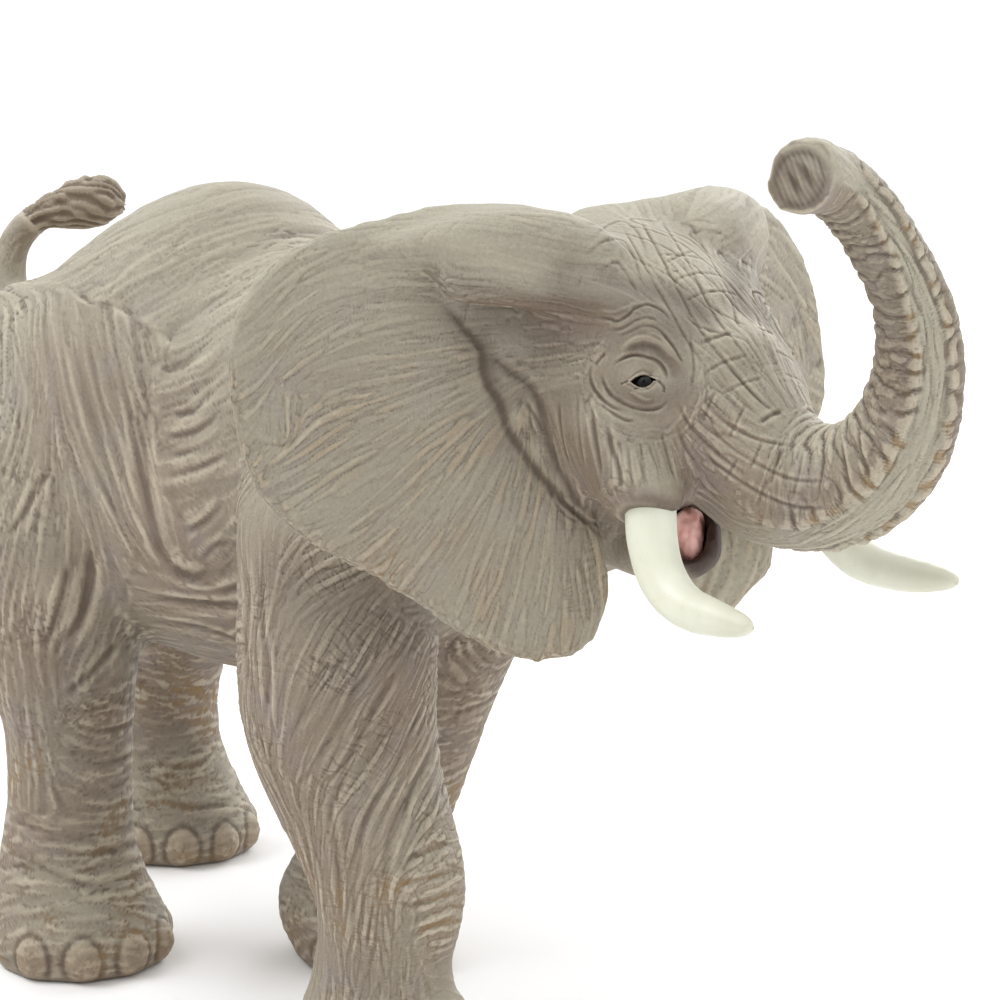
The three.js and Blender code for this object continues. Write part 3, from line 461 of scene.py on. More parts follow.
# Guides of the skin's flow. Those of the near side are used on the far side too.
FLOW_GUIDES = strokes("""
    60,262 110,235 170,208 230,192
    100,275 180,235 255,208
    130,300 210,258 300,222
    165,440 195,430 228,405
    160,480 190,472 228,455
    150,545 175,572 205,575 228,550
    160,395 200,385 225,360
    60,330 80,420 110,500 140,560
    110,320 130,400 150,480 165,560
    35,330 40,400 30,470 10,520
    75,480 90,540 85,600 60,650
    40,500 30,560 20,620
    150,600 200,602 240,610
    150,635 200,640 240,650
    30,650 40,700 40,800
    60,725 100,735 140,720
    60,775 100,785 140,770
    30,840 80,850 140,835
    20,880 80,890 145,870
    10,930 70,915 150,920
    150,700 180,705 215,700
    150,770 190,775 220,760
    160,820 200,815 240,810
    252,560 256,620 262,690
    275,600 268,680 275,740
    300,590 320,570 345,560
    260,640 300,600 350,575
    350,620 310,690 285,750
    390,640 345,710 305,780
    425,660 385,740 340,810 325,870
    432,720 400,790 370,850 350,930
    440,770 410,830 395,890 400,950
    300,800 318,870 325,960
    260,770 290,830 312,890
    400,860 425,850 455,842
    400,895 430,885 462,878
    405,940 435,925 455,922
    455,720 475,712 492,705
    455,770 468,762 478,752
    480,670 495,680 510,665
    460,300 400,292 330,312 255,355
    478,330 400,340 320,358 240,395
    485,370 420,398 340,438 255,480
    495,400 440,450 380,505 320,545
    510,430 475,500 430,560 400,595
    530,460 508,530 485,600 468,645
    555,490 548,560 538,645
    580,530 590,580 602,605
    430,270 370,272 305,290 255,325
    470,240 410,240 340,252 285,280
    470,222 510,225 565,240
    440,255 500,258 560,275
    585,225 625,235 650,275
    640,215 668,260 700,312 728,352 765,395
    680,215 710,268 740,320 775,385
    500,300 550,310 600,318
    520,340 560,340 600,335
    545,370 565,365 595,360
    560,400 566,435 575,475
    590,405 596,440 604,485
    630,430 633,460 637,490
    660,430 666,460 672,490
    540,420 552,450 570,490
    700,400 740,430 800,445
    690,445 728,478 800,508
    680,340 702,380 735,412
    760,230 770,290 778,350 790,400
    780,240 800,300 808,370
    755,215 725,225 700,232
    757,550 752,580 740,600""")

# Folds: half width, depth and the lift beside them in millimetres
FOLDS = {
    "behind the cheek": """
    0.5 0.34 0.04: 436,300 447,309 465,328 480,347 483,360 484,371 489,386 499,401 504,417 508,430 \
      520,448 536,471 548,485 562,500 578,516 592,528
    0.55 0.187 0.048: 481,348 495,360 509,371 524,381 534,394 541,412 545,430 552,451 559,469 566,481 \
      576,500 588,524
    0.25 0.15 0.05: 524,400 536,418 541,432
    0.21 0.135 0.04: 548,486 556,504 568,517 580,522""",
    "below the ear's root ridge": """
    2.4 0.55 0.35: 428,276 455,279 485,289 520,297 547,302 575,309 600,316 622,318""",
    "lids": """
    0.2 0.3 0.06: 613,366 619,361 627,357 636,355.5 648,358 657,361 664,368 668,377 669.5,383
    0.32 -0.28 0: 619,353 631,343 646,340 660,345 670,353 678,360 684,366
    0.7 0.32 0: 623,355 636,350 650,348 662,356 672,366 677,377 678,389
    0.2 -0.16 0: 645,334 657,337 667,344.5 674,352 681,356
    0.16 0.2 0.04: 662,334 672,346 680,359 684,366
    0.16 0.18 0.04: 606,352 598,361 594,366
    0.19 0.2 0.05: 589,371 590,381 594,390 604,401 614,408 624,411
    0.2 0.21 0.05: 600,373 604,385 611,395 621,402 631,407 641,410 652,410 662,407 672,398
    0.19 0.17 0.05: 598,402 606,408 616,415 626,420 637,421
    0.17 -0.18 0: 629,393.5 635,397.5 641.5,401 648.5,402.5 655,400.5
    0.13 0.12 0: 632,391 641,391.5 650,393
    0.16 0.24 0.03: 655,380 661,383 665,389 664,395
    0.13 0.15 0.03: 630,381 625,383 619,385
    0.3 -0.1 0: 624,400 636,409 650,414 664,412""",
    "brow": """
    0.18 0.17 0.06: 593,317 609,319 618,321.5 629,315 634,310 648,306 662,312 674,324
    0.18 -0.13 0: 598,310 614,312 627,308 638,302
    0.17 0.11 0.04: 606,330 622,329 636,322 650,320 664,328
    0.17 0.1 0.04: 616,338 630,333 644,328 658,331 670,342
    0.175 0.054 0.02: 560,342 580,347 596,344 612,350
    0.175 0.054 0.02: 548,356 566,361 582,358 598,364
    0.21 0.09 0.032: 690,330 692,350 694,372 690,392""",
    "temple": """
    0.245 0.09 0.032: 592,240 606,226 622,221 638,232 650,262
    0.245 0.09 0.032: 585,256 604,241 622,240 634,256 644,288
    0.245 0.081 0.032: 600,272 616,262 628,276 640,300""",
    "forehead": """
    0.231 0.135 0.04: 637,214 658,250 679,290 702,332 728,366 762,402 800,428
    0.21 0.117 0.04: 657,214 688,262 712,310 736,346 768,386
    0.21 0.09 0.032: 684,212 708,254 732,296 744,330
    0.21 0.1125 0.04: 622,225 643,262 664,300 690,345 712,378
    0.28 0.2025 0.04: 700,343 716,338 734,333
    0.21 0.1125 0.02: 662,264 678,256 694,250
    0.21 0.1125 0.02: 684,302 700,294 718,290
    0.21 0.09 0.02: 672,282 688,275 704,272
    0.21 0.1125 0.02: 702,376 722,364 748,356
    0.21 0.09 0.02: 720,396 742,384 766,376
    0.245 0.135 0.04: 722,290 732,304 739,330
    0.245 0.1125 0.04: 745,300 758,318 763,345""",
    "root of the trunk": """
    0.231 0.135 0.04: 698,398 728,424 762,440 800,447
    0.231 0.135 0.04: 690,440 718,466 762,494 802,508 840,505
    0.21 0.117 0.04: 700,420 738,452 788,478 832,482
    0.21 0.117 0.04: 676,398 690,426 722,458 750,478
    0.196 0.099 0.02: 716,390 708,408 702,424
    0.196 0.1125 0.02: 746,404 738,420 728,440
    0.196 0.1125 0.02: 763,440 757,454 748,472
    0.196 0.099 0.02: 738,458 732,468 724,482
    0.196 0.1125 0.02: 782,446 777,462 770,486
    0.196 0.099 0.02: 803,450 800,468 792,500
    0.196 0.1125 0.02: 824,452 822,470 818,498
    0.196 0.099 0.02: 768,478 762,492 756,508
    0.28 0.18 0.04: 758,424 772,415 784,410
    0.245 0.135 0.06: 842,440 846,470 852,500
    0.245 0.135 0.06: 858,425 862,455 874,490""",
    "cheek and sheath": """
    0.245 0.1125 0.04: 558,398 562,430 570,466
    0.245 0.1125 0.04: 575,394 580,428 586,470
    0.28 0.1575 0.048: 591,404 596,438 602,482
    0.35 0.225 0.06: 606,420 611,446 618,470 622,494
    0.196 0.09 0.024: 628,446 630,466 633,488
    0.196 0.09 0.024: 640,440 642,462 646,488
    0.196 0.099 0.024: 660,428 668,456 676,486
    0.196 0.099 0.024: 676,424 688,452 704,478
    0.28 0.1575 0.06: 545,486 566,506 590,522 612,524
    0.28 0.135 0.06: 560,500 580,516 600,536""",
    "body": """
    1.3 0.304 0.06: 136,392 142,450 150,505 160,548 178,571 205,577 229,560
    0.7 0.153 0.12: 150,598 190,602 240,606
    0.6 0.119 0.08: 158,586 200,594 240,586
    0.7 0.136 0.12: 150,622 200,628 238,640
    0.45 0.136 0.06: 172,416 192,412 206,402
    0.45 0.136 0.06: 165,438 196,431 222,412
    0.45 0.119 0.06: 170,456 200,450 228,432
    0.45 0.119 0.06: 175,476 205,466 230,452
    0.45 0.102 0.06: 185,530 205,522 228,500
    0.45 0.102 0.06: 200,560 215,545 232,540
    0.6 0.0748 0.04: 60,340 72,400 92,460 118,515 138,548
    0.6 0.0748 0.04: 85,330 100,400 122,470 140,520
    0.6 0.068 0.04: 112,322 124,380 134,440 146,500
    0.7 0.238 0.12: 90,545 90,580 80,618 62,646
    0.6 0.17 0.1: 70,560 62,600 48,640
    0.6 0.153 0.08: 46,470 28,505 10,535
    0.6 0.153 0.1: 120,640 95,668 62,698""",
    "legs": """
    0.9 0.306 0.16: 244,556 247,600 246,650 252,700
    0.6 0.153 0.08: 262,560 262,620 268,680 262,730
    0.55 0.153 0.08: 330,660 306,700 290,742
    0.55 0.153 0.08: 372,664 342,716 310,772
    0.5 0.119 0.08: 352,640 322,690 300,726
    0.55 0.17 0.08: 402,660 366,724 336,790 322,850
    0.55 0.153 0.08: 430,690 398,758 366,820 352,880
    0.6 0.187 0.1: 438,740 412,790 390,840 384,890 392,940
    0.5 0.153 0.08: 446,782 424,820 408,850
    0.5 0.17 0.08: 402,864 424,852 452,842
    0.5 0.17 0.08: 398,886 424,878 460,868
    0.5 0.136 0.08: 400,908 428,900 460,890
    0.5 0.153 0.08: 406,938 430,926 456,918
    0.5 0.119 0.08: 298,800 308,850 316,905 322,960
    0.5 0.119 0.08: 330,800 336,860 342,930
    0.6 0.153 0.08: 60,722 95,732 135,722
    0.6 0.136 0.08: 70,756 105,764 140,750
    0.6 0.119 0.08: 60,800 100,808 142,796
    0.6 0.136 0.08: 30,846 80,856 140,842
    0.6 0.119 0.08: 60,880 100,888 145,872
    0.6 0.119 0.08: 150,760 185,768 215,756
    0.6 0.119 0.08: 155,800 195,808 235,800""",
}

# Middle of the pale band along the trunk's underside, and the trunk's own middle
TRUNK_BAND = pixels_of("740,527 770,542 800,546 850,532 900,492 928,432 937,380 932,330 918,280 \
  900,235 872,192 842,160")
TRUNK_MIDDLE = pixels_of("745,455 790,478 830,482 868,466 898,438 918,400 924,350 914,300 896,252 \
  872,212 846,180 818,168")


def spline(knots, step):
    knots = np.array(knots, float)
    padded = np.concatenate((2 * knots[:1] - knots[1:2], knots, 2 * knots[-1:] - knots[-2:-1]))
    rows = []
    for k in range(len(knots) - 1):
        a, b, c, d = padded[k:k + 4]
        parts = max(2, int(np.linalg.norm(c - b) / step))
        t = (np.arange(parts) / parts)[:, None]
        bend = (2 * a - 5 * b + 4 * c - d) * t ** 2 + (3 * b - a - 3 * c + d) * t ** 3
        rows.append(0.5 * (2 * b + (c - a) * t + bend))
    return np.concatenate(rows + [knots[-1:]])


def ray_of(x, y):
    return unit(-BACK * FOCAL_PIXELS + RIGHT * (x - PICTURE / 2) + UP * (PICTURE / 2 - y))


def first_hit(x, y):
    return tree.ray_cast(Vector(CAMERA_PLACE), Vector(ray_of(x, y)))[0]


def traced(pixels, step=2.0):
    hits = (first_hit(x, y) for x, y in spline(pixels, step))
    return np.array([place for place in hits if place is not None])


# How far a mirrored place may lie from the skin
MIRROR_SLACK = 3.0


def mirrored(path):
    found = [tree.find_nearest(Vector((x, -y, z))) for x, y, z in path]
    return np.array([place for place, _, _, distance in found if distance < MIRROR_SLACK])


def tangents_of(path):
    return unit(np.gradient(path, axis=0))


def resampled(path, step):
    length = np.concatenate(([0], np.cumsum(np.linalg.norm(np.diff(path, axis=0), axis=1))))
    keep = np.concatenate(([True], np.diff(length) > 1e-6))
    count = max(3, int(length[-1] / step))
    at = np.linspace(0, length[-1], count)
    return np.stack([np.interp(at, length[keep], path[keep, k]) for k in range(3)], 1)


# Flow of the skin, as a tensor on a coarse grid, by the pairs of axes of its six values
FLOW_STEP = 3.0
FLOW_SOFT = 2.0
GUIDE_STEP = 1.5
FLOW_PART = 5000
AXIS_PAIRS = ((0, 0), (1, 1), (2, 2), (0, 1), (0, 2), (1, 2))


def dyad(direction):
    return np.stack([direction[:, a] * direction[:, b] for a, b in AXIS_PAIRS], 1)


def squares_between(points, places):
    return (points ** 2).sum(1)[:, None] + (places ** 2).sum(1)[None] - 2 * points @ places.T


def flow_grid():
    places, tangents = [], []
    for _, pixels in FLOW_GUIDES:
        path = traced(pixels, 4.0)
        for side in (path, mirrored(path)):
            if len(side) < 3:
                continue
            side = resampled(side, GUIDE_STEP)
            fit = np.linalg.norm(np.gradient(side, axis=0), axis=1) < 2 * GUIDE_STEP
            places.append(side[fit])
            tangents.append(tangents_of(side)[fit])
    places = np.concatenate(places)
    six = dyad(np.concatenate(tangents))
    shape = tuple(int(v) for v in np.ceil((HIGH - LOW) / FLOW_STEP) + 2)
    nodes = np.indices(shape).reshape(3, -1).T * FLOW_STEP + LOW
    grid = np.zeros((len(nodes), 6))
    for start in range(0, len(nodes), FLOW_PART):
        square = squares_between(nodes[start:start + FLOW_PART], places)
        weight = 1 / (np.maximum(square, 0) + FLOW_SOFT ** 2) ** 2
        grid[start:start + FLOW_PART] = weight @ six / weight.sum(1)[:, None]
    return grid.reshape(*shape, 6)


def product(six, a, b):
    """The flow's tensor between two directions."""
    total = 0
    for k, (i, j) in enumerate(AXIS_PAIRS):
        total = total + six[:, k] * (a[:, i] * b[:, j] + (i != j) * a[:, j] * b[:, i])
    return total


def principal(six, normals):
    helper = np.where(np.abs(normals[:, 2:3]) < 0.8, (0.0, 0.0, 1.0), (1.0, 0.0, 0.0))
    first = unit(np.cross(helper, normals))
    second = np.cross(normals, first)
    lead = product(six, first, first) - product(six, second, second)
    angle = 0.5 * np.arctan2(2 * product(six, first, second), lead)
    return np.cos(angle)[:, None] * first + np.sin(angle)[:, None] * second


# Wrinkle noise
NOISE_SIZE = 128
NOISE_STEP = 0.3


def band_noise(seed, wavelength, spread, step=NOISE_STEP):
    white = np.random.default_rng(seed).standard_normal((NOISE_SIZE,) * 3).astype(np.float32)
    full = np.fft.fftfreq(NOISE_SIZE, step)
    half = np.fft.rfftfreq(NOISE_SIZE, step)
    rate = np.sqrt(full[:, None, None] ** 2 + full[None, :, None] ** 2 + half[None, None, :] ** 2)
    gain = np.exp(-(np.log(np.maximum(rate, 1e-6) * wavelength) / spread) ** 2)
    volume = np.fft.irfftn(np.fft.rfftn(white) * gain, s=(NOISE_SIZE,) * 3)
    return (volume / volume.std()).astype(np.float32), step


def noise_at(noise, points):
    volume, step = noise
    place = points / step
    base = np.floor(place).astype(np.int64)
    share = (place - base).astype(np.float32)
    flat = volume.ravel()
    low = base % NOISE_SIZE
    high = (base + 1) % NOISE_SIZE
    x = (low[:, 0] * NOISE_SIZE, high[:, 0] * NOISE_SIZE)
    y = (low[:, 1], high[:, 1])
    z = (low[:, 2], high[:, 2])
    result = np.zeros(len(points), np.float32)
    for i, j in np.ndindex(2, 2):
        weight = (share[:, 0] if i else 1 - share[:, 0]) * (share[:, 1] if j else 1 - share[:, 1])
        row = (x[i] + y[j]) * NOISE_SIZE
        result += weight * ((1 - share[:, 2]) * flat[row + z[0]] + share[:, 2] * flat[row + z[1]])
    return result


def drawn(noise, direction, length, steps):
    """Noise averaged up to a length each way along the flow, at steps shorter than half its wavelength."""
    total = np.zeros(len(points), np.float32)
    for share in np.linspace(-1, 1, steps):
        total += math.exp(-2 * share * share) * noise_at(noise, points + direction * (share * length))
    return total / total.std()


def ramp(value, low, high):
    share = np.clip((value - low) / (high - low), 0, 1)
    return share * share * (3 - 2 * share)


def bell(value):
    return np.exp(-np.minimum(value * value, 60))


# How many points nearest_on compares with a path at once
NEAREST_PART = 20000


def nearest_on(path, reach):
    """The numbers of the points near a path, and the nearest sample, the offset and the distance of each."""
    near = np.nonzero(((points > path.min(0) - reach) & (points < path.max(0) + reach)).all(1))[0]
    best = np.zeros(len(near), int)
    offset = np.zeros((len(near), 3))
    tangent = tangents_of(path)
    for start in range(0, len(near), NEAREST_PART):
        part = slice(start, start + NEAREST_PART)
        some = points[near[part]]
        closest = squares_between(some, path).argmin(1)
        away = some - path[closest]
        inner = (closest > 0) & (closest < len(path) - 1)
        slip = (away * tangent[closest]).sum(1) * inner
        best[part] = closest
        offset[part] = away - slip[:, None] * tangent[closest]
    distance = np.linalg.norm(offset, axis=1)
    keep = distance < reach
    return near[keep], best[keep], offset[keep], distance[keep]


# Painted shade: soft brown darkening in creases and hollows, round the eyes, on the cheeks and on legs and
# body where they lie in shade; half width in millimetres and strength
SHADE_STROKES = strokes("""
    0.22 1: 436,300 447,309 465,328 480,347 484,371 499,401 508,430 536,471 562,500 592,528
    1.7 0.72: 440,303 465,330 482,360 499,401 508,430 536,471 562,500 592,528
    1.4 1: 468,328 484,350 488,372 496,396 510,424
    2.6 0.35: 506,380 524,402 536,436 552,476 570,506
    1.5 0.55: 606,372 614,392 640,405 668,401 682,380 668,356 640,347 618,355
    0.32 0.9: 481,348 509,371 534,394 545,430 559,469 576,500 588,524
    1.5 0.6: 490,358 515,378 538,402 549,440 562,475
    1.4 0.5: 440,284 480,291 522,300 562,308 600,315
    3.4 0.4: 440,294 480,304 530,318 575,330
    3.2 0.25: 450,350 478,410 510,465 545,510
    0.6 0.75: 638,350 652,348 663,357 673,368 677,382
    0.25 0.6: 616,364 628,356 647,357 661,366 669,380
    0.28 0.5: 600,376 611,395 631,407 652,410 672,398
    0.28 0.45: 590,374 594,390 614,408 637,421
    2.6 0.4: 585,420 594,450 604,492
    2.4 0.3: 566,380 572,420 580,470
    3.6 0.38: 610,425 640,440 672,440
    0.7 0.6: 616,506 640,500 662,503 682,508 704,508
    1.4 0.6: 570,500 585,518 604,530
    2.4 0.75: 740,262 738,290 748,320
    4 0.6: 752,248 758,285 766,330
    5 0.4: 252,560 300,590 350,612 400,640 430,660
    6 0.3: 340,640 370,700 390,770
    6 0.2: 60,640 70,700 60,760
    6 0.25: 160,690 185,750 190,800
    5 0.4: 150,780 195,815 225,850
    5 0.22: 600,236 645,232 690,236
    8 0.2: 60,400 130,400 200,380""")


# Step along folds and washes
FINE_STEP = 0.3


# Painted shade along a path, strongest on it and fading towards its ends
def shade_along(paint, path, width, strength):
    if len(path) < 2:
        return
    near, best, _, distance = nearest_on(resampled(path, FINE_STEP), 2.5 * width)
    share = best / max(best.max(initial=0), 1)
    taper = ramp(np.minimum(share, 1 - share), -0.05, 0.15)
    paint[near] = np.maximum(paint[near], strength * bell(distance / width) * taper)


def fold_along(relief, path, width, depth, lift):
    if len(path) < 3:
        return
    path = resampled(path, FINE_STEP)
    outward = np.array([tree.find_nearest(Vector(place))[1] for place in path])
    near, best, offset, distance = nearest_on(path, 4 * width)
    share = best / (len(path) - 1)
    facing = (normals[near] * outward[best]).sum(1)
    taper = ramp(np.minimum(share, 1 - share), -0.02, 0.22) * ramp(facing, -0.1, 0.45)
    beside = distance * np.sign((np.cross(tangents_of(path)[best], offset) * normals[near]).sum(1))
    left, right = (bell((beside + place * width) / (1.1 * width)) for place in (-1.7, 1.7))
    relief[near] += taper * (lift * (left + 0.5 * right) - depth * bell(distance / width))


# Coarse skin. Feet and the trunk's tip are smoothed less than the rest of their pieces.
SMOOTH_ROUNDS = 40
KIND_STRENGTH = (0.8, 0.7, 0.45, 0.2, 0.22, 0.2, 0.15)
FOOT_TOP = 9.0
FOOT_STRENGTH = 0.25
TIP_REACH = 6.0
TIP_STRENGTH = 0.15


def by_kind(*values):
    """A value for each point, from those for torso, legs, head, ears, trunk, jaw and tail."""
    return np.repeat(values, KIND_COUNTS)[label]


total, label_volume = combined(skin_fields())
points, quads = largest_part(*surface_of(total, VOXEL, FIRST))
enclosed_volume = enclosure(total)
del total
label = voxel_value(label_volume, points)
strength = by_kind(*KIND_STRENGTH) * np.where(points[:, 2] < FOOT_TOP, FOOT_STRENGTH, 1.0)
strength *= np.where(np.linalg.norm(points - TRUNK_TIP, axis=1) < TIP_REACH, TIP_STRENGTH, 1.0)
average = Averager(len(points), quads)
points = shrunk_back(average, points, SMOOTH_ROUNDS, average(strength, 12))
tree = BVHTree.FromPolygons(points.tolist(), quads.tolist())
flow = flow_grid()

# Fine skin
FINE_NODES = ["head", "trunk", "lower_jaw"] + ["ear_right", "front_right_leg"]
FINE_LABELS = [INDEX[name] for name in FINE_NODES]
points, quads = subdivided(points, quads)
label = voxel_value(label_volume, points)
points, quads, ties = refined(points, quads, np.isin(label[quads[:, 0]], FINE_LABELS), 2, np.zeros((0, 4)))

# Eyes: the near one's place in the photograph, with sizes in millimetres
EYE_PIXEL = (645.0, 383.6)
EYE_RADIUS = 1.6
EYE_REACH = 6.5
EYE_FRONT = 0.92
EYE_FACING_REACH = 4.5
EYE_FINE_REACH = 3.9


class Eye:
    def __init__(self, side):
        base = first_hit(*EYE_PIXEL)
        if side > 0:
            base = tree.find_nearest(Vector((base.x, -base.y, base.z)))[0]
        self.base = np.array(base)
        near = np.linalg.norm(points - self.base, axis=1) < EYE_FACING_REACH
        self.out = unit(normals[near].mean(0))
        ahead = RIGHT * (1, -side, 1)
        self.ahead = unit(ahead - ahead.dot(self.out) * self.out)
        self.up = -side * np.cross(self.out, self.ahead)

    def local(self):
        away = points - self.base
        return away @ self.ahead, away @ self.up, away @ self.out


normals = normals_of(points, quads)
eyes = [Eye(side) for side in (-1, 1)]
for eye in eyes:
    close = np.linalg.norm(points[quads].mean(1) - eye.base, axis=1) < EYE_FINE_REACH
    points, quads, ties = refined(points, quads, close, 3, ties)

# Soften the facets that refining kept
average = Averager(len(points), quads)
moving = np.ones(len(points))
moving[ties[:, 0].astype(int)] = 0
points = average(points, 3, 0.5 * moving)
normals = normals_of(points, quads)
label = voxel_value(label_volume, points)
kinds = [by_kind(*row) for row in np.eye(len(KIND_COUNTS), dtype=bool)]
is_torso, is_leg, is_head, is_ear, is_trunk, is_jaw, is_tail = kinds

# Frame of the trunk: its middle line, the pale band's direction, distance along and angle from the band
TRUNK_SAMPLE = 0.3
TRUNK_REACH = 11.0
TRUNK_ROOT_X = 57.0
BAND_ROUNDS = 25
BAND_HALF_DEGREES = 25


def middle_line(pixels, step, deepest, first_x, rounds):
    """The line halfway through a limb, under a line in the photograph, beyond a place along x."""
    path = []
    for x, y in spline(pixels, step):
        near = first_hit(x, y)
        if near is None or (near.x > first_x) == (first_x < 0):
            continue
        ray = ray_of(x, y)
        depth = tree.ray_cast(near + Vector(ray) * 0.3, Vector(ray))[3]
        path.append(np.array(near) + ray * min(deepest, (depth or 2 * deepest) / 2))
    path = np.array(path)
    for _ in range(rounds):
        path[1:-1] += 0.5 * ((path[2:] + path[:-2]) / 2 - path[1:-1])
    return path


trunk_path = middle_line(TRUNK_MIDDLE, step=4.0, deepest=7.0, first_x=40.0, rounds=30)
trunk_path = resampled(trunk_path, TRUNK_SAMPLE)
trunk_along = tangents_of(trunk_path)
band = traced(TRUNK_BAND)
toward = band[((trunk_path[:, None] - band[None]) ** 2).sum(-1).argmin(1)] - trunk_path
toward -= (toward * trunk_along).sum(1)[:, None] * trunk_along
for _ in range(BAND_ROUNDS):
    toward[1:-1] = (toward[2:] + toward[:-2]) / 2
toward = unit(toward)
beside = np.cross(trunk_along, toward)
near, best, offset, _ = nearest_on(trunk_path, TRUNK_REACH)
trunk_s = np.full(len(points), -1.0)
trunk_s[near] = best * TRUNK_SAMPLE
trunk_angle = np.zeros(len(points))
trunk_angle[near] = np.degrees(np.arctan2((offset * beside[best]).sum(1), (offset * toward[best]).sum(1)))
in_trunk = is_trunk | (is_head & (points[:, 0] > TRUNK_ROOT_X))
trunk_share = np.zeros(len(points))
trunk_share[near] = ramp(best / (len(trunk_path) - 1), 0.02, 0.2) * in_trunk[near]
along_here = np.zeros((len(points), 3))
along_here[near] = trunk_along[best]
on_band = 1 - ramp(np.abs(trunk_angle), BAND_HALF_DEGREES - 6, BAND_HALF_DEGREES + 6)

# Flow at each point: the guides', the trunk's band and rings, rings round the eyes, and the tuft's strands
TAIL_MIDDLE = pixels_of("17,300 12,270 18,236 40,213 70,203 95,200 118,204")
TAIL_REACH = 12.0
TAIL_SAMPLE = 0.5
TUFT_START = 0.41
TUFT_TWIST = -0.35
OVERRULE = 3.0

six = between(flow, (points - LOW) / FLOW_STEP)
six /= np.maximum(six[:, :3].sum(1), SMALLEST)[:, None]
rings = dyad(unit(np.cross(normals, along_here)))
trunk_six = on_band[:, None] * dyad(along_here) + (1 - on_band)[:, None] * rings
six = six + OVERRULE * trunk_share[:, None] * (trunk_six - six)
eye_share = np.zeros(len(points))
for eye in eyes:
    away = points - eye.base
    share = 1 - ramp(np.linalg.norm(away, axis=1), 4.0, 8.0)
    eye_share = np.maximum(eye_share, share)
    six = six + OVERRULE * share[:, None] * (dyad(np.cross(normals, unit(away))) - six)
tail_path = middle_line(TAIL_MIDDLE, step=3.0, deepest=3.2, first_x=-72.0, rounds=12)
tail_path = resampled(tail_path, TAIL_SAMPLE)
near, best, offset, _ = nearest_on(tail_path, TAIL_REACH)
tail_along = np.zeros((len(points), 3))
tail_along[near] = tangents_of(tail_path)[best]
tuft = np.zeros(len(points))
tuft[near] = ramp(best / (len(tail_path) - 1), TUFT_START, TUFT_START + 0.04)
tuft *= is_tail
six[is_tail] = dyad(tail_along + TUFT_TWIST * np.cross(normals, tail_along))[is_tail]
direction = principal(six, normals)
across = np.cross(normals, direction)

# Wrinkles drawn along the flow
lines = band_noise(11, wavelength=1.35, spread=0.4)
cross_lines = band_noise(12, wavelength=2.0, spread=0.4)
fine_lines = band_noise(13, wavelength=0.9, spread=0.35)
broad_lines = band_noise(14, wavelength=6.0, spread=0.5, step=0.9)
patches = band_noise(15, wavelength=14.0, spread=0.7, step=1.2)

long_value = drawn(lines, direction, length=4.6, steps=21)
cross_value = drawn(cross_lines, across, length=2.4, steps=7)
fine_value = drawn(fine_lines, direction, length=2.4, steps=13)
broad_value = drawn(broad_lines, direction, length=11.0, steps=11)
patch_value = noise_at(patches, points)

# How deep they are, by kind of piece, and where they are calmer
LONG_AMOUNT = (0.62, 1.0, 0.8, 0.75, 0.8, 0.6, 0.5)
CROSS_AMOUNT = (0.12, 0.28, 0.2, 0.03, 0.05, 0.1, 0.1)
BROAD_AMOUNT = (0.05, 0.05, 0.02, 0.04, 0.0, 0.03, 0.03)
SPREAD_ROUNDS = 25

steady = product(six, direction, direction) - product(six, across, across)
flat_sole = ramp(points[:, 2], 0.3, 1.6)
crown_calm = 1 - 0.45 * ramp(points[:, 2], 96, 103) * (is_torso | is_ear | is_head)
tusk_volume = np.minimum(node_field("tusk_left"), node_field("tusk_right"))
tusk_away = between(tusk_volume, points / VOXEL - FIRST)
root_calm = np.where(is_head, ramp(tusk_away, 0.4, 2.0), 1.0)
amount = average(by_kind(*LONG_AMOUNT), SPREAD_ROUNDS) * np.clip(1 + 0.25 * patch_value, 0.4, 1.6)
amount *= (0.35 + 0.65 * ramp(steady, 0.05, 0.4)) * (1 - 0.8 * eye_share)
amount *= flat_sole * crown_calm * root_calm
fine_amount = np.where(np.isin(label, FINE_LABELS), 0.045, 0.015)
cross_crease = bell(cross_value / 0.25) * ramp(patch_value, -1.2, 0.8)
cross_relief = 0.2 * by_kind(*CROSS_AMOUNT) * cross_crease + fine_amount * bell(fine_value / 0.4)
long_relief = 0.035 * np.clip(long_value, -1.5, 1.5) - 0.1 * bell(long_value / 0.33)
relief = amount * (long_relief - cross_relief)
relief += average(by_kind(*BROAD_AMOUNT), SPREAD_ROUNDS) * flat_sole * (1 - eye_share) * broad_value

# Twisted strands of the tuft
TUFT_SINK = 0.25
STRAND_DEPTH = 0.4
relief -= tuft * TUFT_SINK
tail_side = unit(np.cross(tail_along[near], (0.0, 0.0, 1.0)))
tail_over = np.cross(tail_side, tail_along[near])
tail_turn = np.arctan2((offset * tail_over).sum(1), (offset * tail_side).sum(1))
tail_s = best * TAIL_SAMPLE
sway = noise_at(cross_lines, points[near] * 0.3)
strands = 0.55 * np.cos(5 * tail_turn + 0.5 * tail_s + 1.3 * sway)
strands += 0.5 * np.cos(10 * tail_turn + 1.0 * tail_s - 2.2 * sway)
relief[near] += tuft[near] * STRAND_DEPTH * strands

# Folds and painted shade, on both sides
for rows in FOLDS.values():
    for measures, pixels in strokes(rows):
        path = traced(pixels)
        fold_along(relief, path, *measures)
        fold_along(relief, mirrored(path)[::-1], *measures)
painted_shade = np.zeros(len(points))
for measures, pixels in SHADE_STROKES:
    path = traced(pixels)
    shade_along(painted_shade, path, *measures)
    shade_along(painted_shade, mirrored(path), *measures)

# Rolled lip of the sheath round each tusk
relief += is_head * 0.2 * bell((tusk_away - 0.75) / 0.5)

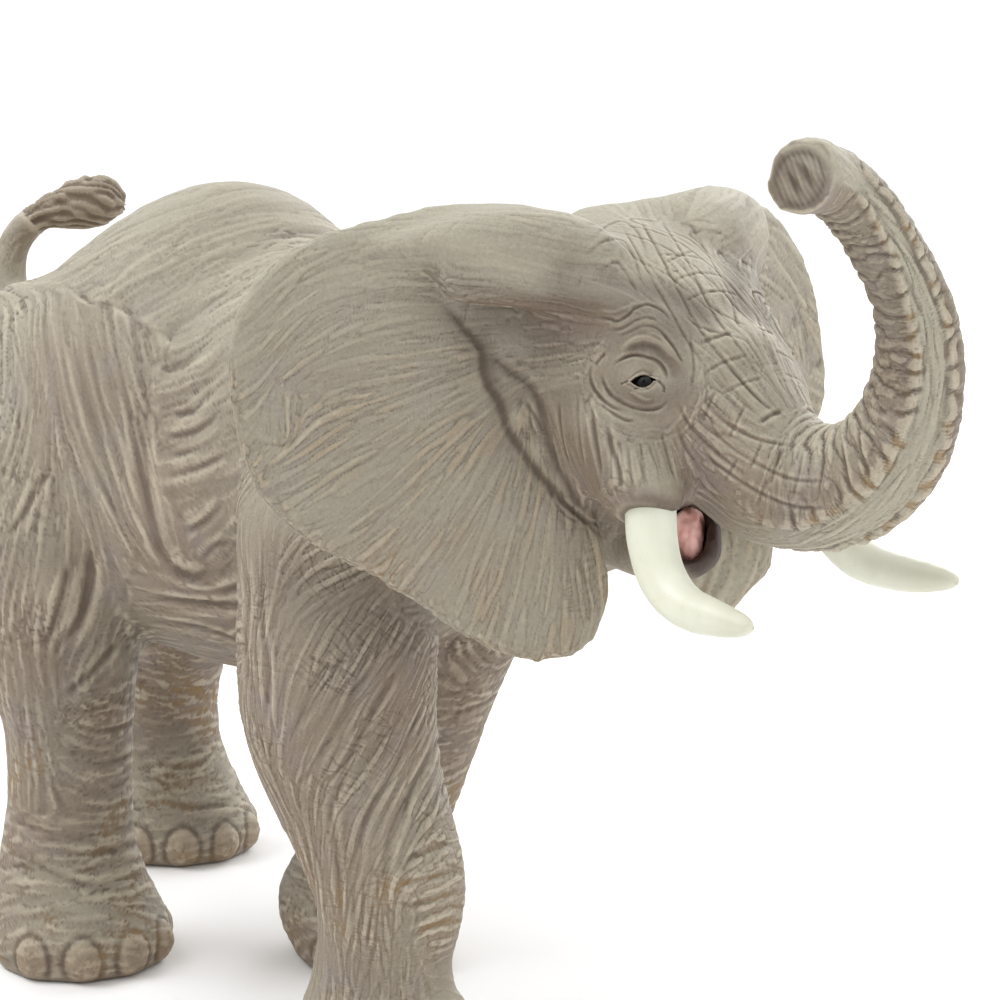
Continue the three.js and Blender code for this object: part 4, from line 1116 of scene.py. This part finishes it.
# Soft bulges and hollows: radius and height in millimetres
BULGES = strokes("""
    3.2 0.6: 640,326
    1.5 0.7: 517,420
    1.5 0.6: 535,452
    4 -0.7: 562,335
    2.5 -0.35: 590,392
    3.5 0.4: 575,440
    4 0.35: 690,380
    8 0.9: 190,490
    4 0.5: 55,600
    5 0.5: 430,880
    4 0.4: 500,272
    5 -0.5: 450,345
    2.4 0.5: 768,342
    1 0.22: 645,398""")
for (radius, height), pixels in BULGES:
    place = np.array([first_hit(*pixels[0])])
    for spot in (*place, *mirrored(place)):
        relief += height * bell(np.linalg.norm(points - spot, axis=1) / radius)

# Trunk: folds across the inner side, two ridges and the grooved band, in millimetres and degrees
RING_SPACING = 2.5
RING_DEPTH = 0.45
RIDGE_HEIGHT = 0.42
RIDGE_RADIUS = 5.0
BAND_SINK = 0.22

wander = noise_at(patches, points * 2.2)
ring_phase = trunk_s / RING_SPACING + 0.2 * wander + 0.1 * np.sign(trunk_angle)
ring_away = np.abs(ring_phase - np.floor(ring_phase) - 0.5) * RING_SPACING
ring_share = np.clip(2 * ring_away / RING_SPACING, 0, 1)
angle_away = np.abs(trunk_angle)
trunk_end = trunk_s.max()
ring_zone = ramp(angle_away, BAND_HALF_DEGREES + 2, BAND_HALF_DEGREES + 9)
ring_zone *= (0.55 + 0.45 * ramp(angle_away, 60, 120)) * trunk_share
ring_zone *= 1 - ramp(trunk_s, trunk_end - 3.0, trunk_end - 1.0)
ring_depth = RING_DEPTH * (1 + 0.6 * ramp(angle_away, 70, 120))
ring_depth *= 0.3 + 0.7 * ramp(trunk_s / trunk_end, 0.08, 0.36)
relief += ring_zone * ring_depth * (np.sqrt(1 - (1 - ring_share) ** 2) - 0.6)
ridge_away = np.radians(angle_away - BAND_HALF_DEGREES - 3) * RIDGE_RADIUS
trunk_calm = trunk_share * (1 - ramp(trunk_s, trunk_end - 6.0, trunk_end - 2.0))
relief += trunk_calm * RIDGE_HEIGHT * bell(ridge_away / 0.75) * (1 - 0.9 * bell(ring_away / 0.5))
relief -= trunk_calm * BAND_SINK * on_band
pits = trunk_calm * bell((ridge_away + 0.1) / 0.8) * bell(ring_away / 0.4) * ramp(wander, -0.8, 0.9)

# Tip of the trunk: a flared lip round a shallow face with two nostrils
TIP_FACE_REACH = 9.0
TIP_RECESS = 0.3
NOSTRIL_DEPTH = 0.3
NOSTRIL_PLACE = 0.75
NOSTRIL_TURN = math.radians(118)

on_tip = np.linalg.norm(points - TRUNK_TIP, axis=1) < TIP_FACE_REACH
away = points[on_tip] - TRUNK_TIP
height = away @ TIP_NORMAL
across_tip = away - height[:, None] * TIP_NORMAL
wide = np.linalg.norm(across_tip, axis=1)
turn = np.arctan2(across_tip @ UP, across_tip @ RIGHT) - NOSTRIL_TURN
faced = ramp((normals[on_tip] * TIP_NORMAL).sum(1), 0.55, 0.85)
inner = 1 - ramp(wide, 0.7 * TIP_RADIUS, 0.93 * TIP_RADIUS)
long_way = wide * np.cos(turn)
short_way = wide * np.sin(turn)
nostrils = bell((np.abs(short_way) - NOSTRIL_PLACE) / 0.42) * bell(long_way / 1.35)
swirl = 0.035 * np.cos(short_way / 0.09 + 0.9 * long_way + wander[on_tip]) - NOSTRIL_DEPTH * nostrils
face_relief = faced * inner * (swirl - TIP_RECESS) + 0.15 * (1 - faced) * bell(height + 0.2)
relief[on_tip] = relief[on_tip] * ramp(-height, 0.3, 2.5) + face_relief
# Painted shade on the tip's recessed face, in its nostrils and in a ring inside the lip
tip_face_shade = 0.65 * (1 - ramp(wide, 0.86 * TIP_RADIUS, TIP_RADIUS)) + 0.25 * nostrils
tip_face_shade += 0.35 * bell((wide - 0.8 * TIP_RADIUS) / 0.35)
tip_shade = np.zeros(len(points))
tip_shade[on_tip] = faced * tip_face_shade

# Toenails
FOOT_HEIGHT = 10.0
SOLE_HEIGHT = 4.0
NAIL_DEGREES = (-72, -36, 0, 36, 72)
NAIL_HALF_WIDTH = 2.5
NAIL_HALF_HEIGHT = 3.1
NAIL_LIFT = 2.9
NAIL_DOME = 0.11
NAIL_GROOVE = 0.15

nail = np.zeros(len(points))
for name in LEG_NODES:
    own = np.nonzero((label == INDEX[name]) & (points[:, 2] < FOOT_HEIGHT))[0]
    foot = points[own]
    middle = foot[foot[:, 2] < SOLE_HEIGHT].mean(0)
    angle = np.degrees(np.arctan2(foot[:, 1] - middle[1], foot[:, 0] - middle[0]))
    reach = np.linalg.norm(foot[:, :2] - middle[:2], axis=1)
    for degrees in NAIL_DEGREES:
        arc = np.radians(angle - degrees) * reach
        size = np.hypot(arc / NAIL_HALF_WIDTH, (foot[:, 2] - NAIL_LIFT) / NAIL_HALF_HEIGHT)
        relief[own] += NAIL_DOME * np.sqrt(np.clip(1 - size ** 2, 0, 1))
        relief[own] -= NAIL_GROOVE * bell((size - 1.1) / 0.15) * ramp(foot[:, 2], 0.3, 1.5)
        nail[own] = np.maximum(nail[own], 1 - ramp(size, 0.85, 1.05))

# Eyelids: a shell close over the eyeball, a soft skirt round it, and an opening with a rim
LID_RADIUS = EYE_RADIUS + 0.14
LID_GAP = 0.04
LID_OPENING = 1.6
HOLE_DEPTH = 1.6

eye_hole = np.zeros(len(points))
for eye in eyes:
    ahead, high, out = eye.local()
    size = np.hypot(ahead, high)
    near = (np.hypot(size, out) < EYE_REACH) & is_head
    shell = np.sqrt(np.maximum(LID_RADIUS ** 2 - size ** 2, 0)) - LID_RADIUS + EYE_FRONT + LID_GAP
    skirt = 0.6 * (1 - ramp(size, 0.9, 3.4))
    shape = np.maximum(shell, skirt) + 0.15 * bell((size - 1.5) / 0.6)
    past_corner = np.abs(ahead) - LID_OPENING
    opening = np.where(high > 0, 1.0, 0.9) * np.clip(1 - (np.abs(ahead) / LID_OPENING) ** 2.1, 0, 1)
    edge = np.where(past_corner < 0, np.abs(high) - opening, np.hypot(high, past_corner))
    rim = 0.1 * bell((edge - 0.14) / 0.13) - 0.06 * bell((edge - 0.42) / 0.14)
    relief += near * (shape + rim) * (1 - ramp(size, 3.0, 4.0))
    eye_hole = np.maximum(eye_hole, near * (1 - ramp(edge, -0.1, 0.03)))

# Painted cavities: what lies under or over its surroundings, close by and broadly
CLOSE_ROUNDS = 14
BROAD_ROUNDS = 24
CAVITY_LIMIT = 1.6
HOLLOW_DEPTH = 0.8
HOLLOW_LIMIT = 1.5

cavity = relief - average(relief, CLOSE_ROUNDS)
cavity = np.clip(cavity / np.percentile(np.abs(cavity), 95), -CAVITY_LIMIT, CAVITY_LIMIT)
points = points + normals * (relief - HOLE_DEPTH * eye_hole)[:, None]
points = np.clip(points, *(np.array(corner) * 1000 + SHIFT for corner in CAD_BOX))
middle, start, end = ties[:, :3].astype(int).T
share = ties[:, 3:]
points[middle] = points[start] * (1 - share) + points[end] * share
hollow = ((points - average(points, BROAD_ROUNDS)) * normals).sum(1) / HOLLOW_DEPTH
hollow = np.clip(hollow, -HOLLOW_LIMIT, HOLLOW_LIMIT)
normals = normals_of(points, quads)

# Paint, by height and place in millimetres
MOUTH_MIDDLE = (52.4, 0.4, 68.6)
KNEE_HEIGHT = 24.0
HEM_HEIGHT = 70.0
CROWN_HEIGHT = 97.0

height = points[:, 2]
mouth_away = np.linalg.norm(points - MOUTH_MIDDLE, axis=1)
throat = (1 - ramp(mouth_away, 3.0, 4.2)) * is_head * ramp(hollow, 0.35, 0.0)
mouth = np.where(is_jaw, 1 - ramp(mouth_away, 4.6, 5.3), throat)
# Painted shade on the skin round each tusk's root
tusk_root_shade = 0.5 * bell((tusk_away - 0.25) / 0.4) * is_head
worn = 0.7 * (1 - ramp(height, 4, 16)) + 0.8 * bell((height - KNEE_HEIGHT) / 9) * is_leg
worn += 0.45 * average((is_ear & (height < HEM_HEIGHT)).astype(float), 8)
ochre = np.clip(0.7 * pits, 0, 1) + worn * ramp(patch_value, -0.5, 1.2) * np.clip(-cavity, 0, 1)
# The far ear's lower lobe: painted paler and given less painted shade, as painted light where it lies in
# shade
far_lobe = (label == INDEX["ear_left"]) * (1 - ramp(height, 68, 74))
# Painted shade where solid closes round a place: between the legs, under the ears and in deep folds; less of
# it on the far ear's lower lobe and on the jaw
solid_place = points + normals * 0.7 * ENCLOSED_REACH
occlusion_shade = average(ramp(between(enclosed_volume, solid_place / VOXEL - FIRST), 0.2, 0.5), 6)
occlusion_shade *= (1 - 0.8 * far_lobe) * np.where(is_jaw, 0.3, 1.0)
streaks = bell((long_value - 0.9) / 0.5) * is_ear * (1 - ramp(height, 84, 98)) * ramp(patch_value, -1.0, 0.6)
ochre = np.maximum(np.clip(ochre, 0, 1), 0.32 * streaks * (1 - painted_shade))
# Ears and crown painted paler, more so higher up, as painted top light, and the far lobe as painted light;
# with the trunk's pale band and a half-pale jaw these make the pale areas
soft_ear = average((is_ear | (is_head & (height > CROWN_HEIGHT))).astype(float), 40)
pale_ear = soft_ear * np.maximum(0.4 + 0.45 * ramp(height, 88, 102), far_lobe)
pale = np.maximum(np.clip(trunk_share * on_band, 0, 1), np.maximum(pale_ear, 0.5 * is_jaw))
mouth = np.clip(mouth + eye_hole, 0, 1)
# Painted shade also on the trunk's ringed inner side, on the tip's face and round each tusk's root
painted_shade = np.clip(painted_shade + 0.5 * ring_zone * ramp(trunk_s / trunk_end, 0.3, 0.5) + 0.6 * tip_shade + tusk_root_shade, 0, 1)
PAINT = {"tuft": tuft, "cavity": cavity, "hollow": hollow, "ochre": ochre, "mouth": mouth, "pale": pale,
         "nail": nail, "occlusion_shade": occlusion_shade, "painted_shade": painted_shade}


# Materials
def colour(red, green, blue):
    """Linear colour of an sRGB one given in 0 to 255."""
    return tuple(((v / 255 + 0.055) / 1.055) ** 2.4 for v in (red, green, blue)) + (1.0,)


class Nodes:
    """The node tree of a material or a world, and the ways to add to it."""

    def __init__(self, owner, shader):
        owner.use_nodes = True
        self.owner = owner
        self.tree = owner.node_tree
        self.shader = self.tree.nodes[shader]

    def add(self, kind, inputs, **settings):
        node = self.tree.nodes.new(kind)
        for key, value in settings.items():
            setattr(node, key, value)
        for key, value in inputs.items():
            if isinstance(value, bpy.types.NodeSocket):
                self.tree.links.new(value, node.inputs[key])
            else:
                node.inputs[key].default_value = value
        return node

    def attribute(self, name):
        return self.add("ShaderNodeAttribute", {}, attribute_name=name).outputs["Fac"]

    def ramp(self, value, low, high, out_low=0.0, out_high=1.0):
        inputs = {"Value": value, "From Min": low, "From Max": high, "To Min": out_low, "To Max": out_high}
        return self.add("ShaderNodeMapRange", inputs).outputs["Result"]

    def math(self, operation, a, b, clamp=False):
        return self.add("ShaderNodeMath", {0: a, 1: b}, operation=operation, use_clamp=clamp).outputs[0]

    def mix(self, share, a, b, kind="MIX"):
        return self.add("ShaderNodeMix", {0: share, 6: a, 7: b}, data_type="RGBA", blend_type=kind).outputs[2]

    def noise(self, scale, detail=2.0, rough=0.5, stretch=None):
        place = self.add("ShaderNodeTexCoord", {}).outputs["Object"]
        if stretch:
            place = self.add("ShaderNodeMapping", {"Vector": place, "Scale": stretch}).outputs[0]
        inputs = {"Vector": place, "Scale": scale, "Detail": detail, "Roughness": rough}
        return self.add("ShaderNodeTexNoise", inputs).outputs["Fac"]

    def link(self, value, name):
        self.tree.links.new(value, self.shader.inputs[name])

    def set_inputs(self, **values):
        for name, value in values.items():
            self.shader.inputs[name.replace("_", " ")].default_value = value

    def bump(self, *layers):
        inputs = {}
        for height, strength, distance in layers:
            inputs.update({"Height": height, "Strength": strength, "Distance": distance})
            inputs["Normal"] = self.add("ShaderNodeBump", inputs).outputs["Normal"]
        self.link(inputs["Normal"], "Normal")


def new_material(name):
    return Nodes(bpy.data.materials.new(name), "Principled BSDF")


SKIN_BASE = colour(137, 127, 111)
SKIN_WARM = colour(131, 116, 100)
# Paler greenish grey, for painted top light and for the pale areas
SKIN_GREEN = colour(167, 162, 145)
SKIN_LILAC = colour(132, 121, 116)
SKIN_PALE = colour(194, 182, 160)
SKIN_SHADE = colour(86, 73, 61)
# Painted attributes in the order of their coats, with the share and the colour of each. The first two are
# painted shade: where solid closes round, and in creases, hollows and shaded places.
COATS = (("occlusion_shade", 0.5, colour(104, 92, 78)), ("painted_shade", 0.82, SKIN_SHADE),
         ("nail", 0.35, colour(160, 138, 112)), ("ochre", 0.8, colour(156, 124, 78)),
         ("tuft", 0.45, colour(118, 100, 82)), ("mouth", 1.0, colour(66, 50, 42)))


def skin_material():
    net = new_material("skin")
    body = net.mix(net.ramp(net.noise(55.0, 3.0), 0.36, 0.64), SKIN_WARM, SKIN_BASE)
    body = net.mix(net.ramp(net.noise(160.0, 3.0), 0.5, 0.72, 0.0, 0.6), body, SKIN_LILAC)
    # Faces that turn up are painted paler, as painted top light
    normal = net.add("ShaderNodeNewGeometry", {}).outputs["Normal"]
    top_lit = net.add("ShaderNodeSeparateXYZ", {0: normal}).outputs["Z"]
    body = net.mix(net.ramp(top_lit, 0.0, 0.85, 0.0, 0.8), body, SKIN_GREEN)
    # Pale areas: the trunk's pale band and the jaw, with ears and crown painted paler as painted top light
    # and the far lobe as painted light
    body = net.mix(net.math("MULTIPLY", net.attribute("pale"), 0.75), body, SKIN_GREEN)
    cavity = net.attribute("cavity")
    hollow = net.attribute("hollow")
    deep = net.math("ADD", net.ramp(cavity, 0.0, -1.3), net.ramp(hollow, 0.05, -1.0, 0.0, 0.55), clamp=True)
    brushed = net.math("ADD", net.ramp(cavity, 0.12, 1.1), net.ramp(hollow, 0.2, 1.2, 0.0, 0.5), clamp=True)
    breakup = net.ramp(net.noise(260.0, 3.0, 0.6), 0.3, 0.65, 0.7, 1.0)
    for value, share, tint in ((deep, 0.82, SKIN_SHADE), (brushed, 0.62, SKIN_PALE)):
        body = net.mix(net.math("MULTIPLY", net.math("MULTIPLY", value, breakup), share), body, tint)
    for name, share, tint in COATS:
        body = net.mix(net.math("MULTIPLY", net.attribute(name), share), body, tint)
    speckle = net.ramp(net.noise(2600.0, 2.0, 0.7), 0.3, 0.7, 0.9, 1.08)
    grey = net.add("ShaderNodeCombineColor", {0: speckle, 1: speckle, 2: speckle}).outputs[0]
    net.link(net.mix(1.0, body, grey, "MULTIPLY"), "Base Color")
    net.link(net.ramp(cavity, -1.0, 1.0, 0.72, 0.5), "Roughness")
    net.set_inputs(Specular_IOR_Level=0.35)
    net.bump((net.noise(2300.0, 3.0, 0.65), 0.25, 0.00012), (net.noise(5200.0, 2.0, 0.6), 0.2, 0.00006))
    return net.owner


def ivory_material():
    net = new_material("ivory")
    streaks = net.noise(240.0, 3.0, 0.6, (1.0, 1.0, 0.25))
    body = net.mix(net.ramp(streaks, 0.35, 0.7, 0.0, 0.7), colour(230, 231, 216), colour(218, 220, 200))
    body = net.mix(net.ramp(net.noise(90.0), 0.45, 0.7, 0.0, 0.5), body, colour(212, 211, 191))
    body = net.mix(net.math("MULTIPLY", net.attribute("tip"), 0.8), body, colour(176, 172, 150))
    body = net.mix(net.ramp(net.noise(1500.0, 2.0, 0.6), 0.62, 0.75, 0.0, 0.25), body, colour(196, 190, 160))
    net.link(body, "Base Color")
    net.link(net.ramp(streaks, 0.3, 0.7, 0.34, 0.46), "Roughness")
    net.set_inputs(Specular_IOR_Level=0.45, Subsurface_Weight=0.15, Subsurface_Radius=(0.002, 0.0018, 0.0012))
    net.bump((net.noise(900.0, 3.0, 0.6, (1.0, 1.0, 0.3)), 0.12, 0.0001))
    return net.owner


def tongue_material():
    net = new_material("tongue_pink")
    body = net.mix(net.ramp(net.noise(300.0, 3.0), 0.35, 0.7), colour(255, 188, 180), colour(255, 206, 198))
    body = net.mix(net.ramp(net.noise(2200.0), 0.55, 0.75, 0.0, 0.4), body, colour(255, 222, 214))
    net.link(body, "Base Color")
    net.link(net.ramp(net.noise(500.0), 0.3, 0.7, 0.38, 0.52), "Roughness")
    net.bump((net.noise(3000.0, 2.0, 0.6), 0.3, 0.0001))
    return net.owner


def eye_material():
    net = new_material("eye_black")
    body = net.mix(net.ramp(net.noise(1200.0), 0.4, 0.7), colour(9, 8, 8), colour(20, 16, 14))
    net.link(body, "Base Color")
    net.link(net.ramp(net.noise(2500.0), 0.3, 0.7, 0.14, 0.26), "Roughness")
    net.set_inputs(Specular_IOR_Level=0.3, Coat_Weight=0.1, Coat_Roughness=0.04)
    net.bump((net.noise(4000.0), 0.04, 0.00005))
    return net.owner


def floor_material():
    net = new_material("floor")
    body = net.mix(net.ramp(net.noise(3.0), 0.3, 0.7), (0.955, 0.955, 0.955, 1), (0.97, 0.97, 0.97, 1))
    net.link(body, "Base Color")
    net.link(net.ramp(net.noise(60.0), 0.3, 0.7, 0.7, 0.85), "Roughness")
    net.bump((net.noise(400.0), 0.02, 0.0002))
    return net.owner


skin = skin_material()
ivory = ivory_material()
pink = tongue_material()
black = eye_material()


# Pieces
def with_ties(quads, ties, count):
    """The quads, with those that have tied points on their edges as faces of more corners."""
    on_edge = {}
    for middle, a, b, share in ties.tolist():
        middle, a, b = int(middle), int(a), int(b)
        on_edge.setdefault((a, b), []).append((share, middle))
        on_edge.setdefault((b, a), []).append((1 - share, middle))
    ends = np.sort(ties[:, 1:3].astype(np.int64), axis=1)
    after = quads[:, [1, 2, 3, 0]]
    keys = np.minimum(quads, after) * count + np.maximum(quads, after)
    touched = np.isin(keys, ends[:, 0] * count + ends[:, 1]).any(1)
    faces = []
    for face in quads[touched].tolist():
        corners = []
        for k in range(4):
            corners.append(face[k])
            corners += [middle for _, middle in sorted(on_edge.get((face[k], face[(k + 1) % 4]), ()))]
        faces.append(corners)
    return quads[~touched], faces


SKIRT_DEPTH = 0.6


def piece_from(name, points, quads, normals, material, attributes, ties=()):
    """A piece of its own faces, whose open edges turn in under the pieces beside it."""
    quads, faces = with_ties(quads, ties, len(points)) if len(ties) else (quads, [])
    sizes = np.array([4] * len(quads) + [len(face) for face in faces])
    corners = np.concatenate((quads.ravel(), np.array([c for face in faces for c in face], np.int64)))
    used, corners = np.unique(corners, return_inverse=True)
    corners = corners.ravel()
    firsts = np.concatenate(([0], np.cumsum(sizes)[:-1]))
    following = np.arange(len(corners)) + 1
    following[firsts + sizes - 1] = firsts
    ends = corners[following]
    border = ~np.isin(ends * len(used) + corners, corners * len(used) + ends)
    rim, number = np.unique(np.concatenate((corners[border], ends[border])), return_inverse=True)
    below = len(used) + number.ravel().reshape(2, -1)
    caps = np.stack((ends[border], corners[border], below[0], below[1]), 1)
    own = np.concatenate((used, used[rim]))
    places = points[own]
    places[len(used):] -= normals[used[rim]] * SKIRT_DEPTH
    starts = np.concatenate((firsts, len(corners) + np.arange(len(caps)) * 4))
    mesh = mesh_of(name, to_frame(places), np.concatenate((corners, caps.ravel())), starts)
    mesh.shade_smooth()
    mesh.normals_split_custom_set_from_vertices(normals[own].astype(np.float32))
    for key, values in attributes.items():
        mesh.attributes.new(key, "FLOAT", "POINT").data.foreach_set("value", values[own].astype(np.float32))
    obj = bpy.data.objects.new(name, mesh)
    bpy.context.scene.collection.objects.link(obj)
    mesh.materials.append(material)
    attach(obj, "root")
    return obj


face_label = label[quads[:, 0]]
for index, name in enumerate(SKIN_NODES):
    obj = piece_from(name + "_skin", points, quads[face_label == index], normals, skin, PAINT, ties)
    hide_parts(name)

# Tusks and tongue
SMALL_VOXEL = 0.32
SMALL_PAD = 2.0
TUSK_TIP_WAY = (1.0, 0.0, -0.3)


def small_skin(name, rounds, strength, reshape=None):
    low, high = (np.array(v) * 1000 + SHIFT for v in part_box(name))
    first = np.floor((low - SMALL_PAD) / SMALL_VOXEL).astype(int)
    shape = tuple(int(v) for v in np.ceil((high + SMALL_PAD) / SMALL_VOXEL).astype(int) - first + 1)
    field = node_field(name, SMALL_VOXEL, first, shape)
    if reshape:
        axes = [(np.arange(shape[k]) + first[k]) * SMALL_VOXEL for k in range(3)]
        field = reshape(field, np.ix_(*axes))
    own, faces = largest_part(*surface_of(field, SMALL_VOXEL, first))
    own = shrunk_back(Averager(len(own), faces), own, rounds, strength)
    own, faces = subdivided(own, faces)
    return own, faces, normals_of(own, faces)


for name in ("tusk_right", "tusk_left"):
    own, faces, own_normals = small_skin(name, rounds=60, strength=0.8)
    tip = own[(own @ TUSK_TIP_WAY).argmax()]
    tip_away = np.linalg.norm(own - tip, axis=1)
    at_tip = np.maximum(bell(tip_away / 0.55), 0.55 * bell(tip_away / 9.0))
    growth = noise_at(band_noise(21, wavelength=3.0, spread=0.5), own * 0.35)
    own = own + own_normals * (0.04 * growth - 0.1 * bell(tip_away / 0.7))[:, None]
    obj = piece_from(name + "_ivory", own, faces, normals_of(own, faces), ivory, {"tip": at_tip})
    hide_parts(name)

TONGUE_LEAF = (52.45, 0.35, 68.35)
TONGUE_RADII = (1.5, 3.4, 2.0)
TONGUE_FRONT = 51.6
GROOVE_DEPTH = 0.18


def tongue_shape(field, grid):
    body = np.maximum(field, grid[0] - TONGUE_FRONT)
    leaf = ellipsoid(TONGUE_LEAF, (RIGHT, unit(UP + 0.08 * RIGHT), BACK), TONGUE_RADII, grid)
    return blended(body, leaf, 1.2)


own, faces, own_normals = small_skin("tongue", rounds=8, strength=0.6, reshape=tongue_shape)
leaf_side = (own - TONGUE_LEAF) @ RIGHT
groove = bell((leaf_side + 0.35) / 0.3) * (own_normals @ BACK > 0)
bumps = 0.05 * noise_at(band_noise(22, wavelength=1.2, spread=0.4), own)
own = own + own_normals * (bumps - GROOVE_DEPTH * groove)[:, None]
obj = piece_from("tongue_soft", own, faces, normals_of(own, faces), pink, {})
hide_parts("tongue")

# Eyeballs: a ball with a slightly raised cornea
CORNEA = 0.05
EYE_TURNS = 48
EYE_ROWS = 32
rise = np.linspace(0, math.pi, EYE_ROWS + 1)[1:-1, None, None]
turn = np.linspace(0, 2 * math.pi, EYE_TURNS, endpoint=False)[None, :, None]
radius = EYE_RADIUS + CORNEA * bell(rise / 0.7)
for eye, name in zip(eyes, ("eye_right", "eye_left")):
    side = np.cos(turn) * eye.ahead + np.sin(turn) * np.cross(eye.out, eye.ahead)
    away = (radius * (np.cos(rise) * eye.out + np.sin(rise) * side)).reshape(-1, 3)
    ids = np.arange(len(away)).reshape(-1, EYE_TURNS)
    after = np.roll(ids, -1, axis=1)
    faces = np.stack((ids[:-1], ids[1:], after[1:], after[:-1]), -1).reshape(-1, 4)
    own = eye.base + eye.out * (EYE_FRONT - EYE_RADIUS) + away
    obj = piece_from(name + "_glass", own, faces, unit(away), black, {})
    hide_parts(name)

# Studio: a white floor, a world that is brighter above and behind, and three soft lights
FLOOR_REACH = 6.0
FRONT_LIGHT = 0.36
BACK_LIGHT = 1.08
TOP_LIGHT = 1.28
WORLD_TINT = (0.985, 0.995, 1.0, 1)
LIGHT_AIM = (0, 0, 0.06)

corners = FLOOR_REACH * np.array(((-1, -1, 0), (1, -1, 0), (1, 1, 0), (-1, 1, 0)))
floor = bpy.data.objects.new("floor", mesh_of("floor", corners, np.arange(4), np.zeros(1)))
floor.data.materials.append(floor_material())
bpy.context.scene.collection.objects.link(floor)


def make_world():
    net = Nodes(bpy.data.worlds.new("studio"), "Background")
    bpy.context.scene.world = net.owner
    place = net.add("ShaderNodeTexCoord", {}).outputs["Generated"]
    facing = net.add("ShaderNodeVectorMath", {0: place, 1: LEVEL_BACK}, operation="DOT_PRODUCT")
    level = net.ramp(facing.outputs["Value"], -0.4, 0.9, BACK_LIGHT, FRONT_LIGHT)
    top = net.ramp(net.add("ShaderNodeSeparateXYZ", {0: place}).outputs["Z"], 0.3, 0.9)
    both = net.add("ShaderNodeMix", {0: top, 2: level, 3: TOP_LIGHT}, data_type="FLOAT").outputs[0]
    net.link(both, "Strength")
    net.set_inputs(Color=WORLD_TINT)


def soft_light(name, place, size, power):
    data = bpy.data.lights.new(name, "AREA")
    data.shape = "SQUARE"
    data.size = size
    data.energy = power
    light = bpy.data.objects.new(name, data)
    light.location = place
    light.rotation_euler = (Vector(LIGHT_AIM) - Vector(place)).to_track_quat("-Z", "Y").to_euler()
    bpy.context.scene.collection.objects.link(light)


make_world()
soft_light("key", (-0.35, -0.45, 0.75), size=0.5, power=3.6)
soft_light("fill", (0.75, 0.1, 0.35), size=0.5, power=1.2)
soft_light("rim", (-0.2, 0.75, 0.45), size=0.6, power=3.0)
bpy.context.scene.view_settings.view_transform = "Standard"
